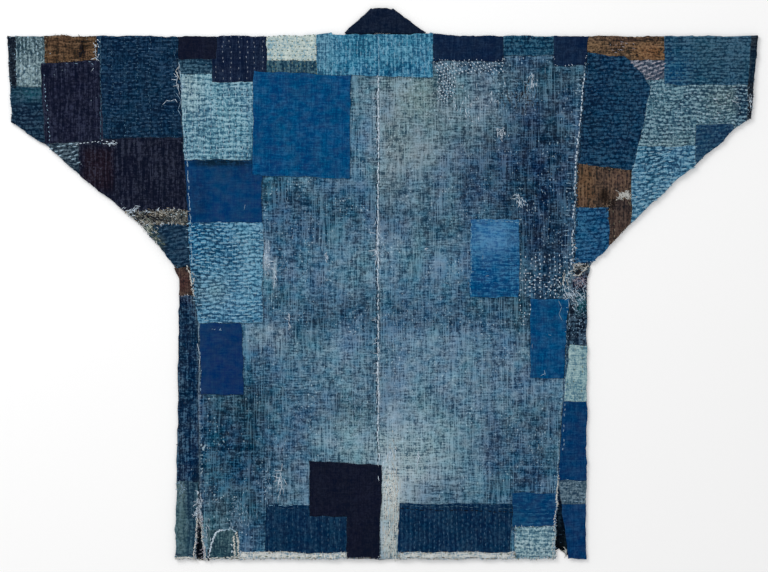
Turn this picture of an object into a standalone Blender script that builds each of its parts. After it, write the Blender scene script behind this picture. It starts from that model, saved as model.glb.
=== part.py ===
"""Patched boro work jacket, laid flat on its front with the back uppermost.

+X runs across the back, +Y runs up towards the collar and +Z points away from the table.
The origin is on the table, under the middle of the whole outline.  Places on the garment are
given in millimetres as "across" (from the middle, to the right as seen) and "down" (below the
shoulder line, so the collar's stand has a negative "down").
"""

import math
from collections import namedtuple

import bmesh
import bpy
import numpy as np
from mathutils import Vector

MM = 0.001

# Driving sizes, in millimetres.
BODY_LENGTH = 850.0  # shoulder line to hem
COLLAR_STAND = 46.0  # how far the collar stands above the shoulder line
CLOTH = 1.6  # two or three worn layers quilted together
PATCH_CLOTH = 0.9
COLLAR_CLOTH = 2.4  # the band is folded double
GAP = 0.3  # between pieces at a seam and between layers
SHOULDER_LIP = 12.0  # how far the back turns under at the shoulder
UNDERARM = 376.0  # where the side strips start
CENTRE_SEAM = -5.0
NECK_SHOULDER = (77.0, 112.0)  # the back's top edge comes down to the shoulder line here
NECK_RISE = 5.0  # how far the back neckline stands above the shoulder line
COLLAR_PLATEAU = (75.0, 150.0)  # the back lies higher over the collar bands, up to here

LOWER_LEVEL = CLOTH / 2  # middle of the cloth that lies on the table
UPPER_LEVEL = CLOTH + GAP + CLOTH / 2  # middle of the cloth that lies on that
COLLAR_LOWER_LEVEL = COLLAR_CLOTH / 2
COLLAR_UPPER_LEVEL = COLLAR_CLOTH + GAP + COLLAR_CLOTH / 2
COLLAR_LIFT = COLLAR_CLOTH - CLOTH  # how much thicker the collar is than a front
SHOULDER_Y = (BODY_LENGTH - COLLAR_STAND) / 2

FOLD_TURNS = (67.5, 22.5, -22.5, -67.5)  # degrees, the points round a folded edge
UPPER_TURNS = 2  # how many of them a patch on the upper side reaches over
NECK_COLUMN = 5  # where the neckline starts in the list below
WIDTH_SHARES = (0, 0.155, 0.31, 0.465, 0.615, 0.76, 0.88, 1)  # across one loom width
LONGEST_CELL = 50.0
LONGEST_FRONT_CELL = 100.0

# The seams that join the back to the sleeves and side strips.  The slits at the hem open them.
Seam = namedtuple("Seam", "down left right left_slit right_slit")
SIDE_SEAMS = (
    Seam(-10, -334, 336, 0, 0),
    Seam(209, -322, 317, 0, 0),
    Seam(376, -314, 310, 0, 0),
    Seam(466, -301, 300, 0, 0),
    Seam(724, -299, 286, 0, 0),
    Seam(850, -298, 291, 12, 22),
)

# The folded sides of the body, and the armholes of the fronts above them.
Side = namedtuple("Side", "down left right")
SIDE_FOLDS = (
    Side(0, -334, 337),
    Side(376, -338, 336),
    Side(393, -331, 332),
    Side(850, -336, 330),
)

# One row for each section across a sleeve, from the shoulder fold to the slanting lower edge.
# "top" and "bottom" are distances from the middle of the garment, "drop" is the lower edge.
Section = namedtuple("Section", "top bottom drop")
LEFT_SLEEVE = (
    Section(352, 342, 371),
    Section(380, 360, 347),
    Section(415, 392, 308),
    Section(460, 440, 268),
    Section(505, 492, 227),
    Section(550, 544, 179),
    Section(585, 578, 157),
    Section(611, 604, 139),
)
RIGHT_SLEEVE = (
    Section(352, 342, 367),
    Section(378, 358, 353),
    Section(412, 390, 318),
    Section(455, 440, 270),
    Section(500, 490, 224),
    Section(545, 540, 180),
    Section(582, 583, 142),
    Section(610, 599, 132),
)

# The collar band's two edges from the left hem, over the neck, to the right hem.  "body" is the
# edge sewn to the garment and "free" is the other, each as (across, down).
Band = namedtuple("Band", "body free layer")
COLLAR_BAND = (
    Band((-56, 850), (-4, 850), "lower"),
    Band((-56, 230), (-4, 230), "lower"),
    Band((-62, 90), (-11, 60), "lower"),
    Band((-64, 0), (-17, -40), "lower"),
    Band((-61, -NECK_RISE - GAP), (-18, -COLLAR_STAND), "fold"),
    Band((-28, -NECK_RISE - GAP), (-9, -COLLAR_STAND), "upper"),
    Band((4, -NECK_RISE - GAP), (-1, -COLLAR_STAND), "upper"),
    Band((36, -NECK_RISE - GAP), (7, -COLLAR_STAND), "upper"),
    Band((69, -NECK_RISE - GAP), (15, -COLLAR_STAND), "fold"),
    Band((72, 0), (14, -40), "lower"),
    Band((65, 90), (9, 60), "lower"),
    Band((56, 230), (4, 230), "lower"),
    Band((56, 850), (4, 850), "lower"),
)

# Soft swells of the upper layer: a rounded ridge "length" by "breadth", turned from across.
Swell = namedtuple("Swell", "across down length breadth turn height")
SWELLS = (
    Swell(-170, 560, 150, 70, 80, 1.6),
    Swell(165, 300, 170, 80, 96, 1.9),
    Swell(190, 660, 120, 70, 15, 1.4),
    Swell(-215, 200, 120, 60, 60, 1.2),
    Swell(-470, 110, 110, 60, 20, 1.5),
    Swell(480, 120, 120, 60, -25, 1.6),
    Swell(400, 210, 90, 60, -50, 1.2),
    Swell(-395, 220, 90, 60, 45, 1.2),
    Swell(0, 780, 120, 60, 5, 1.2),
)

# One row for each patch: its sides, then how much lower its right end lies ("slope") and how
# far its lower edge is shifted ("lean").  On each panel a patch lies over those listed below it,
# which stop at its edge.  Rows that reach past the panel end at the panel's own edge.
Patch = namedtuple("Patch", "name panel left right top bottom slope lean cloth")
PATCHES = (
    Patch("cuff_band_left", "sleeve_left", -630, -598, -20, 80, 0, 2, "near_black"),
    Patch("sleeve_left_plum", "sleeve_left", -557, -461, 44, 175, -6, 7, "near_black"),
    Patch("sleeve_left_pale_teal", "sleeve_left", -598, -551, -20, 81, 0, 2, "pale_teal"),
    Patch("sleeve_left_brown", "sleeve_left", -551, -465, -20, 60, 0, 0, "brown"),
    Patch("sleeve_left_pale_dashes", "sleeve_left", -543, -494, 150, 260, 0, 0, "pale_teal"),
    Patch("sleeve_left_cuff_navy", "sleeve_left", -630, -550, 81, 260, 0, 0, "navy"),
    Patch("sleeve_left_black", "sleeve_left", -494, -290, 166, 285, -3, 0, "near_black"),
    Patch("sleeve_left_grid_navy", "sleeve_left", -480, -290, -20, 180, 0, 0, "navy"),
    Patch("sleeve_left_frayed_band", "sleeve_left", -440, -290, 270, 305, 0, 0, "cream"),
    Patch("sleeve_left_underarm_blue", "sleeve_left", -420, -290, 305, 400, 0, 0, "mid_blue"),
    Patch("sleeve_right_navy_rows", "sleeve_right", 290, 431, 20, 212, 12, -9, "navy"),
    Patch("cuff_band_right", "sleeve_right", 600, 640, -20, 160, 0, -9, "near_black"),
    Patch("sleeve_right_brown", "sleeve_right", 290, 458, -20, 38, 0, 0, "brown"),
    Patch("sleeve_right_pale_pink", "sleeve_right", 400, 458, 38, 70, 0, 0, "pale_teal"),
    Patch("sleeve_right_teal", "sleeve_right", 458, 640, -20, 79, 0, 0, "mid_blue"),
    Patch("sleeve_right_dark_teal", "sleeve_right", 509, 573, 143, 260, 0, 0, "mid_blue"),
    Patch("sleeve_right_grey_teal", "sleeve_right", 400, 640, 60, 178, 0, 0, "pale_teal"),
    Patch("sleeve_right_wavy_blue", "sleeve_right", 405, 509, 170, 340, 0, 0, "sky"),
    Patch("sleeve_right_dark_brown", "sleeve_right", 369, 430, 264, 340, 0, 0, "brown"),
    Patch("sleeve_right_tobacco", "sleeve_right", 290, 405, 200, 278, 0, 0, "brown"),
    Patch("sleeve_right_underarm_blue", "sleeve_right", 290, 369, 278, 400, 0, 0, "mid_blue"),
    Patch("hem_binding_left", "back", -234, -58, 838, 870, 3, 0, "cream"),
    Patch("hem_binding_right", "back", 24, 215, 839, 870, 0, 0, "cream"),
    Patch("hem_left_mend", "back", -285, -237, 803, 870, 0, 0, "pale_teal"),
    Patch("hem_black", "back", -120, -1, 691, 870, 0, 0, "near_black"),
    Patch("hem_left_rows", "back", -191, -50, 761, 838, 3, 0, "navy"),
    Patch("hem_right_rows", "back", 27, 211, 760, 840, 0, -4, "navy"),
    Patch("hem_right_mid_blue", "back", 211, 310, 743, 797, 0, 0, "mid_blue"),
    Patch("hem_right_pale", "back", 215, 310, 797, 870, 0, 0, "pale_teal"),
    Patch("back_left_royal", "back", -298, -229, 466, 582, 1, 2, "mid_blue"),
    Patch("neck_sky", "back", -108, 82, -20, 62, 5, 0, "sky"),
    Patch("back_left_bright_block", "back", -210, -52, 56, 225, 7, -2, "bright_blue"),
    Patch("shoulder_cream", "back", -189, -90, -20, 39, 0, 0, "cream"),
    Patch("shoulder_green_strip", "back", -189, -90, 39, 60, 0, 0, "mid_blue"),
    Patch("shoulder_left_black", "back", -350, -271, -20, 36, 0, 0, "near_black"),
    Patch("shoulder_left_navy_rows", "back", -278, -187, -20, 74, 0, 0, "navy"),
    Patch("shoulder_left_steel", "back", -350, -278, 36, 61, 0, 0, "mid_blue"),
    Patch("back_left_sky_rows", "back", -350, -200, 61, 201, 0, 0, "sky"),
    Patch("back_left_mid_blue", "back", -350, -197, 200, 302, 0, 0, "mid_blue"),
    Patch("back_left_wavy_sky", "back", -350, -195, 302, 466, 0, 0, "sky"),
    Patch("shoulder_right_black", "back", 82, 196, -20, 40, 0, 0, "navy"),
    Patch("shoulder_right_teal", "back", 196, 278, -20, 31, 0, 0, "mid_blue"),
    Patch("shoulder_right_dark", "back", 278, 350, -20, 47, 0, 0, "navy"),
    Patch("back_right_bright_upper", "back", 142, 222, 297, 424, 1, 0, "bright_blue"),
    Patch("back_right_bright_lower", "back", 240, 330, 427, 556, 0, 0, "bright_blue"),
    Patch("side_left_brown", "front_left", -360, -290, 370, 421, 0, 0, "brown"),
    Patch("side_left_teal", "front_left", -360, -290, 724, 870, 0, 0, "mid_blue"),
    Patch("side_right_pale", "front_right", 305, 370, 502, 593, 0, -11, "pale_teal"),
    Patch("side_right_navy", "front_right", 270, 350, 593, 722, 0, 0, "navy"),
    Patch("side_right_grey", "front_right", 270, 350, 722, 761, 0, 0, "pale_teal"),
    Patch("side_right_blue", "front_right", 270, 350, 761, 870, 0, 0, "mid_blue"),
)

# Shapes that aren't four-sided, as convex outlines, clockwise from the upper left.
SPECIAL_SHAPES = {
    "sleeve_right_navy_rows": (
        (
            (290, 20), (393, 33), (424, 62), (437, 84), (433, 110), (424, 145), (414, 207),
            (405, 217), (290, 204),
        ),
    ),
    "hem_black": (
        ((-120, 691), (-1, 697), (-4, 784), (-119, 779)),
        ((-58, 779), (-4, 784), (-7, 870), (-58, 870)),
    ),
}

Cloth = namedtuple("Cloth", "colour roughness")
CLOTHS = {
    "faded_indigo": Cloth((0.055, 0.125, 0.185), 0.9),
    "collar_black": Cloth((0.009, 0.013, 0.028), 0.85),
    "near_black": Cloth((0.010, 0.013, 0.026), 0.85),
    "navy": Cloth((0.011, 0.026, 0.055), 0.9),
    "mid_blue": Cloth((0.010, 0.045, 0.105), 0.9),
    "bright_blue": Cloth((0.010, 0.062, 0.160), 0.9),
    "sky": Cloth((0.080, 0.200, 0.290), 0.9),
    "pale_teal": Cloth((0.130, 0.210, 0.245), 0.9),
    "brown": Cloth((0.060, 0.042, 0.030), 0.95),
    "cream": Cloth((0.380, 0.430, 0.420), 0.95),
}


def clear_scene():
    for old in list(bpy.data.objects):
        bpy.data.objects.remove(old, do_unlink=True)


def new_collection(name):
    collection = bpy.data.collections.new(name)
    bpy.context.scene.collection.children.link(collection)
    return collection


def materials():
    """One Principled material for each kind of cloth."""
    made = {}
    for name, cloth in CLOTHS.items():
        material = bpy.data.materials.new(name)
        material.use_nodes = True
        shader = material.node_tree.nodes["Principled BSDF"]
        shader.inputs["Base Color"].default_value = (*cloth.colour, 1)
        shader.inputs["Roughness"].default_value = cloth.roughness
        shader.inputs["Metallic"].default_value = 0
        material.diffuse_color = (*cloth.colour, 1)
        made[name] = material
    return made


def read(table, column, down):
    """A column of a table, between its rows, at this place down the garment."""
    return float(
        np.interp(down, [row.down for row in table], [getattr(row, column) for row in table])
    )


def ladder(stops, longest):
    """The stops, with even steps put in between them where they lie further apart."""
    steps = [stops[0]]
    for start, end in zip(stops, stops[1:]):
        count = math.ceil((end - start) / longest)
        steps += [start + (end - start) * i / count for i in range(1, count + 1)]
    return steps


def soft_step(share):
    share = min(max(share, 0), 1)
    return share * share * (3 - 2 * share)


def upper_level(across, down):
    """Height of the middle of the upper layer: flat, plus the collar's plateau and the swells."""
    inner, outer = COLLAR_PLATEAU
    level = UPPER_LEVEL + COLLAR_LIFT * soft_step((outer - abs(across)) / (outer - inner))
    for swell in SWELLS:
        turn = math.radians(swell.turn)
        aside, below = across - swell.across, down - swell.down
        along = (aside * math.cos(turn) + below * math.sin(turn)) / swell.length
        over = (below * math.cos(turn) - aside * math.sin(turn)) / swell.breadth
        level += swell.height * math.exp(-(along**2) - over**2)
    return level


def back_top(across):
    """The back's top edge: the shoulder line, and a little above it round the neck."""
    inner, outer = NECK_SHOULDER
    return -NECK_RISE * soft_step((outer - abs(across)) / (outer - inner))


def point(across, down, level):
    return Vector((across, SHOULDER_Y - down, level)) * MM


def upper_point(across, down):
    return point(across, down, upper_level(across, down))


def fold_point(edge, level, turn):
    """How far in from a folded edge, and how high, the place round the fold is."""
    radius = (level - LOWER_LEVEL) / 2
    angle = math.radians(turn)
    return radius - radius * math.cos(angle), LOWER_LEVEL + radius + radius * math.sin(angle)


class Sheet:
    """An open surface of triangles between rows of points, which Solidify turns into cloth.

    "keep" and "upper" say of a cell whether it is cloth, and whether it lies on the garment's
    upper side, where a patch can be cut from it."""

    def __init__(self, rows, keep, upper):
        self.mesh = bmesh.new()
        points = [[self.mesh.verts.new(place) for place in row] for row in rows]
        for i, (row, after) in enumerate(zip(points, points[1:])):
            for j in range(len(row) - 1):
                if keep(i, j):
                    corners = (row[j], row[j + 1], after[j + 1], after[j])
                    self.mesh.faces.new(corners).material_index = int(upper(i, j))
        loose = [corner for corner in self.mesh.verts if not corner.link_faces]
        bmesh.ops.delete(self.mesh, geom=loose, context="VERTS")
        bmesh.ops.triangulate(self.mesh, faces=self.mesh.faces[:])
        self.mesh.normal_update()

    def upper_side(self):
        """A copy of the cells on the garment's upper side."""
        copy = self.mesh.copy()
        under = [face for face in copy.faces if not face.material_index]
        bmesh.ops.delete(copy, geom=under, context="FACES")
        return copy


def edges_of(outline):
    return zip(outline, outline[1:] + outline[:1])


def outward(start, end):
    """The level direction out of a clockwise outline, across one of its edges."""
    along = (end - start).normalized()
    return Vector((-along.y, along.x, 0))


def slice_along(mesh, place, normal, clear_outer):
    bmesh.ops.bisect_plane(
        mesh,
        geom=mesh.verts[:] + mesh.edges[:] + mesh.faces[:],
        dist=1e-7,
        plane_co=place,
        plane_no=normal,
        clear_outer=clear_outer,
    )


def planes_round(outline, gap):
    """The upright planes along an outline's edges, moved out by a gap, as (place, normal)."""
    normals = [outward(start, end) for start, end in edges_of(outline)]
    return [(start + normal * gap * MM, normal) for start, normal in zip(outline, normals)]


def within(face, planes):
    centre = face.calc_center_median()
    return all((centre - place).dot(normal) < 0 for place, normal in planes)


def cut_to_shape(mesh, shape, inside, gap=0):
    """Keeps or removes what lies inside a shape, which is a list of convex outlines."""
    regions = [planes_round(outline, gap) for outline in shape]
    for planes in regions:
        for place, normal in planes:
            slice_along(mesh, place, normal, inside and len(regions) == 1)
    unwanted = [
        face for face in mesh.faces if any(within(face, planes) for planes in regions) != inside
    ]
    bmesh.ops.delete(mesh, geom=unwanted, context="FACES")


def boxes_meet(first, second):
    """Whether the boxes round two shapes overlap."""
    boxes = [
        [(min(places), max(places)) for places in list(zip(*sum(shape, [])))[:2]]
        for shape in (first, second)
    ]
    return all(one[0] < other[1] and other[0] < one[1] for one, other in zip(*boxes))


def patch_shape(patch):
    """The patch's convex outlines, clockwise as seen from above, drawn in by half a seam gap."""
    if patch.name in SPECIAL_SHAPES:
        return [[point(*corner, 0) for corner in outline] for outline in SPECIAL_SHAPES[patch.name]]
    inset = GAP / 2
    corners = (
        (patch.left + inset, patch.top + inset),
        (patch.right - inset, patch.top + inset + patch.slope),
        (patch.right - inset + patch.lean, patch.bottom - inset + patch.slope),
        (patch.left + inset + patch.lean, patch.bottom - inset),
    )
    return [[point(*corner, 0) for corner in corners]]


def cloth_object(name, mesh, thickness, lift, material, collection):
    """Makes a surface into cloth, whose inner side stands "lift" away from it."""
    for face in mesh.faces:
        face.material_index = 0
    data = bpy.data.meshes.new(name)
    mesh.to_mesh(data)
    mesh.free()
    data.materials.append(material)
    data.shade_smooth()
    piece = bpy.data.objects.new(name, data)
    collection.objects.link(piece)
    shell = piece.modifiers.new("Cloth", "SOLIDIFY")
    shell.thickness = thickness * MM
    shell.offset = (2 * lift + thickness) / thickness
    shell.use_even_offset = True
    shell.use_quality_normals = True
    return piece


def back_sheet():
    """Both widths of the back: from the hem up to the shoulder, over the fold and under."""
    middle = len(WIDTH_SHARES) - 1
    shares = [*WIDTH_SHARES, *(2 - share for share in WIDTH_SHARES[-2::-1])]
    corners = [max(seam.down, 0) for seam in SIDE_SEAMS]
    downs = ladder(corners, LONGEST_CELL)

    def across_at(share, down):
        """Share 0 is the left seam, 1 the centre seam and 2 the right seam."""
        if share <= 1:
            edge = read(SIDE_SEAMS, "left", down) + read(SIDE_SEAMS, "left_slit", down) / 2 + GAP / 2
            return CENTRE_SEAM + (edge - CENTRE_SEAM) * (1 - share)
        edge = read(SIDE_SEAMS, "right", down) - read(SIDE_SEAMS, "right_slit", down) / 2 - GAP / 2
        return CENTRE_SEAM + (edge - CENTRE_SEAM) * (share - 1)

    rows = [[upper_point(across_at(share, down), down) for share in shares] for down in downs[:0:-1]]
    flat_rows = len(rows)
    across = [across_at(share, 0) for share in shares]
    tops = [back_top(place) for place in across]
    levels = [upper_level(place, top) for place, top in zip(across, tops)]
    for turn in (90, *FOLD_TURNS, -90):
        rows.append([])
        for place, top, level in zip(across, tops, levels):
            inset, height = fold_point(top, level, turn)
            rows[-1].append(point(place, top + inset, height))
    rows.append([point(place, SHOULDER_LIP, LOWER_LEVEL) for place in across])

    def keep(row, column):
        neck = NECK_COLUMN <= column < 2 * middle - NECK_COLUMN
        return row < flat_rows or not neck

    return Sheet(rows, keep, lambda row, column: row < flat_rows + UPPER_TURNS)


def front_edge(side):
    """The places (down, across) of the front's edge, beside the collar band."""
    band = [row.body for row in COLLAR_BAND if row.layer == "lower" and row.body[0] * side > 0]
    return sorted((down, across + side * GAP) for across, down in band)


def front_sheet(side):
    """A front on the table from its edge to the side fold, then back over it to the seam."""
    name = "left" if side < 0 else "right"
    underarm = UNDERARM + GAP
    edge_downs, edge_places = zip(*front_edge(side))
    stops = (SHOULDER_LIP + GAP, *edge_downs[1:-1], underarm, *(row.down for row in SIDE_FOLDS[2:-1]))
    stops += tuple(seam.down for seam in SIDE_SEAMS if seam.down > underarm)
    downs = ladder(sorted(stops), LONGEST_FRONT_CELL)
    flat_shares = (0, 0.35, 0.7, 1)
    rows = []
    for down in downs:
        fold = read(SIDE_FOLDS, name, down)
        level = upper_level(fold, down)
        turned = fold - side * fold_point(fold, level, 90)[0]
        edge = float(np.interp(down, edge_downs, edge_places))
        slit = read(SIDE_SEAMS, name + "_slit", down) / 2
        seam = read(SIDE_SEAMS, name, down) + side * (slit + GAP / 2)
        rows.append([point(edge + (turned - edge) * share, down, LOWER_LEVEL) for share in flat_shares])
        for turn in FOLD_TURNS[::-1]:
            inset, height = fold_point(fold, level, turn)
            rows[-1].append(point(fold - side * inset, down, height))
        rows[-1] += [upper_point(place, down) for place in (turned, (turned + seam) / 2, seam)]
    if side < 0:
        rows.reverse()
    flat_cells = len(flat_shares) - 1
    wrapped = len(downs) - 1 - downs.index(underarm)

    def keep(row, column):
        below = row < wrapped if side < 0 else row >= len(downs) - 1 - wrapped
        return column < flat_cells or below

    return Sheet(rows, keep, lambda row, column: column >= flat_cells + len(FOLD_TURNS) - UPPER_TURNS + 1)


def sleeve_sheet(side, sections):
    """One length folded along its top: the back from the lower edge up, then the front."""
    name = "left" if side < 0 else "right"

    def armhole(down, upper):
        if upper:
            return read(SIDE_SEAMS, name, down) + side * GAP / 2
        fold = read(SIDE_FOLDS, name, down)
        return fold - side * fold_point(fold, upper_level(fold, down), 90)[0] + side * GAP

    def place(section, share, upper):
        """The point (across, down) at a share of the way down one section."""
        if section is None:
            down = share * (UNDERARM - GAP)
            return armhole(down, upper), down
        return side * (section.top + (section.bottom - section.top) * share), section.drop * share

    shares = [down / UNDERARM for down in ladder((0, SIDE_SEAMS[1].down, UNDERARM), LONGEST_CELL)]
    stations = (None, *sections) if side > 0 else (*reversed(sections), None)
    folds = [place(section, 0, True)[0] for section in stations]
    levels = [upper_level(fold, 0) for fold in folds]
    insets = [fold_point(0, level, 90)[0] for level in levels]
    rows = []
    for share in reversed(shares):
        rows.append([])
        for section, inset in zip(stations, insets):
            across, down = place(section, share, True)
            rows[-1].append(upper_point(across, max(down, inset)))
    for turn in FOLD_TURNS:
        rows.append([])
        for fold, level in zip(folds, levels):
            inset, height = fold_point(0, level, turn)
            rows[-1].append(point(fold, inset, height))
    for share in shares:
        rows.append([])
        for section, inset in zip(stations, insets):
            across, down = place(section, share, False)
            rows[-1].append(point(across, max(down, inset), LOWER_LEVEL))
    return Sheet(
        rows,
        lambda row, column: True,
        lambda row, column: row < len(shares) - 1 + UPPER_TURNS,
    )


def collar_sheet():
    """The collar band: along the table, over the fold at each side of the neck, and back."""
    middle = (COLLAR_LOWER_LEVEL + COLLAR_UPPER_LEVEL) / 2
    radius = (COLLAR_UPPER_LEVEL - COLLAR_LOWER_LEVEL) / 2
    turns = {"lower": (-90,), "upper": (90,), "fold": (-90, *FOLD_TURNS[::-1], 90)}
    rows = []
    for band in COLLAR_BAND:
        body, free = Vector(band.body), Vector(band.free)
        along = (free - body).normalized()
        inward = Vector((-along.y, along.x))
        if body.x > 0:
            inward = -inward
        for turn in turns[band.layer][:: -1 if body.x > 0 else 1]:
            angle = math.radians(turn)
            shift = inward * radius * (1 - math.cos(angle)) if band.layer == "fold" else Vector((0, 0))
            level = middle + radius * math.sin(angle)
            rows.append([point(*(body.lerp(free, share) + shift), level) for share in (0, 0.5, 1)])
    return Sheet(rows, lambda row, column: True, lambda row, column: False)


def add_panels(sheets, slots, jacket):
    """The back is cut at the centre seam; every other sheet is one piece."""
    for name, sheet in sheets.items():
        if name == "collar":
            mesh = sheet.mesh.copy()
            cloth_object(name, mesh, COLLAR_CLOTH, -COLLAR_CLOTH / 2, slots["collar_black"], jacket)
        elif name != "back":
            mesh = sheet.mesh.copy()
            cloth_object(name, mesh, CLOTH, -CLOTH / 2, slots["faded_indigo"], jacket)
    for name, side in (("back_left", 1), ("back_right", -1)):
        mesh = sheets["back"].mesh.copy()
        slice_along(mesh, point(CENTRE_SEAM - side * GAP / 2, 0, 0), Vector((side, 0, 0)), True)
        cloth_object(name, mesh, CLOTH, -CLOTH / 2, slots["faded_indigo"], jacket)


def add_patches(sheets, slots, jacket):
    """Cuts each patch from its panel's own surface, moved out, under those listed above it."""
    for i, patch in enumerate(PATCHES):
        shape = patch_shape(patch)
        mesh = sheets[patch.panel].upper_side()
        cut_to_shape(mesh, shape, True)
        for above in PATCHES[:i]:
            covering = patch_shape(above)
            if above.panel == patch.panel and boxes_meet(shape, covering):
                cut_to_shape(mesh, covering, False, GAP)
        cloth_object(patch.name, mesh, PATCH_CLOTH, CLOTH / 2 + GAP, slots[patch.cloth], jacket)


def main():
    clear_scene()
    jacket = new_collection("patched_boro_jacket")
    slots = materials()
    sheets = {
        "back": back_sheet(),
        "front_left": front_sheet(-1),
        "front_right": front_sheet(1),
        "sleeve_left": sleeve_sheet(-1, LEFT_SLEEVE),
        "sleeve_right": sleeve_sheet(1, RIGHT_SLEEVE),
        "collar": collar_sheet(),
    }
    add_panels(sheets, slots, jacket)
    add_patches(sheets, slots, jacket)
    for sheet in sheets.values():
        sheet.mesh.free()


main()
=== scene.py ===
"""Looks of the patched boro work jacket: worn cloth, sashiko stitches and frayed edges.

The jacket lies on its front, so its back shows.  Places on it are in millimetres: "across" from
the middle, to the right as seen, and "down" below the shoulder line.  Every piece of cloth is
made from its CAD solid, in fine cells, with creases and puckers added by formulas.
"""

import math
from collections import namedtuple

import bmesh
import bpy
import numpy as np
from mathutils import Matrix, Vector
from mathutils.bvhtree import BVHTree


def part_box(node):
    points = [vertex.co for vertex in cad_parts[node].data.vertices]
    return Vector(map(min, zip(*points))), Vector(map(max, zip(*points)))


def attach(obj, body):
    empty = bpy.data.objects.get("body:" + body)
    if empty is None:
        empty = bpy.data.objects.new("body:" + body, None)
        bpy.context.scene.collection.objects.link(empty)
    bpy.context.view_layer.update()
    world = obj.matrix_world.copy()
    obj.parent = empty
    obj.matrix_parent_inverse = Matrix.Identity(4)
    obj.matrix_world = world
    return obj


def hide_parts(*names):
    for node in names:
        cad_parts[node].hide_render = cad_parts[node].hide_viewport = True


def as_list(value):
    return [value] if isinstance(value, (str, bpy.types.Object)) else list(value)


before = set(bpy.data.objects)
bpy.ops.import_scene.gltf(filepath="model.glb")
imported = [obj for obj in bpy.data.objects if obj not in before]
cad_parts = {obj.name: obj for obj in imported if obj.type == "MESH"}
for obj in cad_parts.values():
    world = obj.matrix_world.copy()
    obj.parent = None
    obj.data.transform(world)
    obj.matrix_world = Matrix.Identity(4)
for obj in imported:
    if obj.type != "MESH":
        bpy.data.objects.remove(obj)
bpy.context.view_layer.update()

MM = 0.001
BODY_LENGTH = 850.0
COLLAR_STAND = 46.0
SHOULDER_Y = (BODY_LENGTH - COLLAR_STAND) / 2
CENTRE_SEAM = -5.0
PANELS = (
    "front_left", "front_right", "sleeve_left", "sleeve_right", "back_left", "back_right", "collar",
)

# Their upper sides lie under the back or under patches.
HIDDEN_PANELS = ("front_left", "front_right", "sleeve_left", "sleeve_right")

# How fine the cells are, in millimetres.
PANEL_CELL = 6.0
PATCH_CELL = 4.0
STITCHED_CELL = 2.7
HIDDEN_CELL = 11.0

# Points of the CAD that are closer than this, in metres, are one point.
WELD = 2e-6

# The upward part of a face's normal: more than this on the upper side, and where stitches hold.
FACING_UP = 0.3
STEEPEST = 0.05

# How far the cloth's edges have faded towards its pale colour.
EDGE_WEAR = 0.22

# The lower layer ends below the first height and the upper layer starts above the second.
LOWER_TOP = 1.5
UPPER_BOTTOM = 2.0


def table(kind, *rows):
    """The rows of a table, as namedtuples of one kind."""
    return [kind(*row) for row in rows]


# ---------------------------------------------------------------- colours

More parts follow.
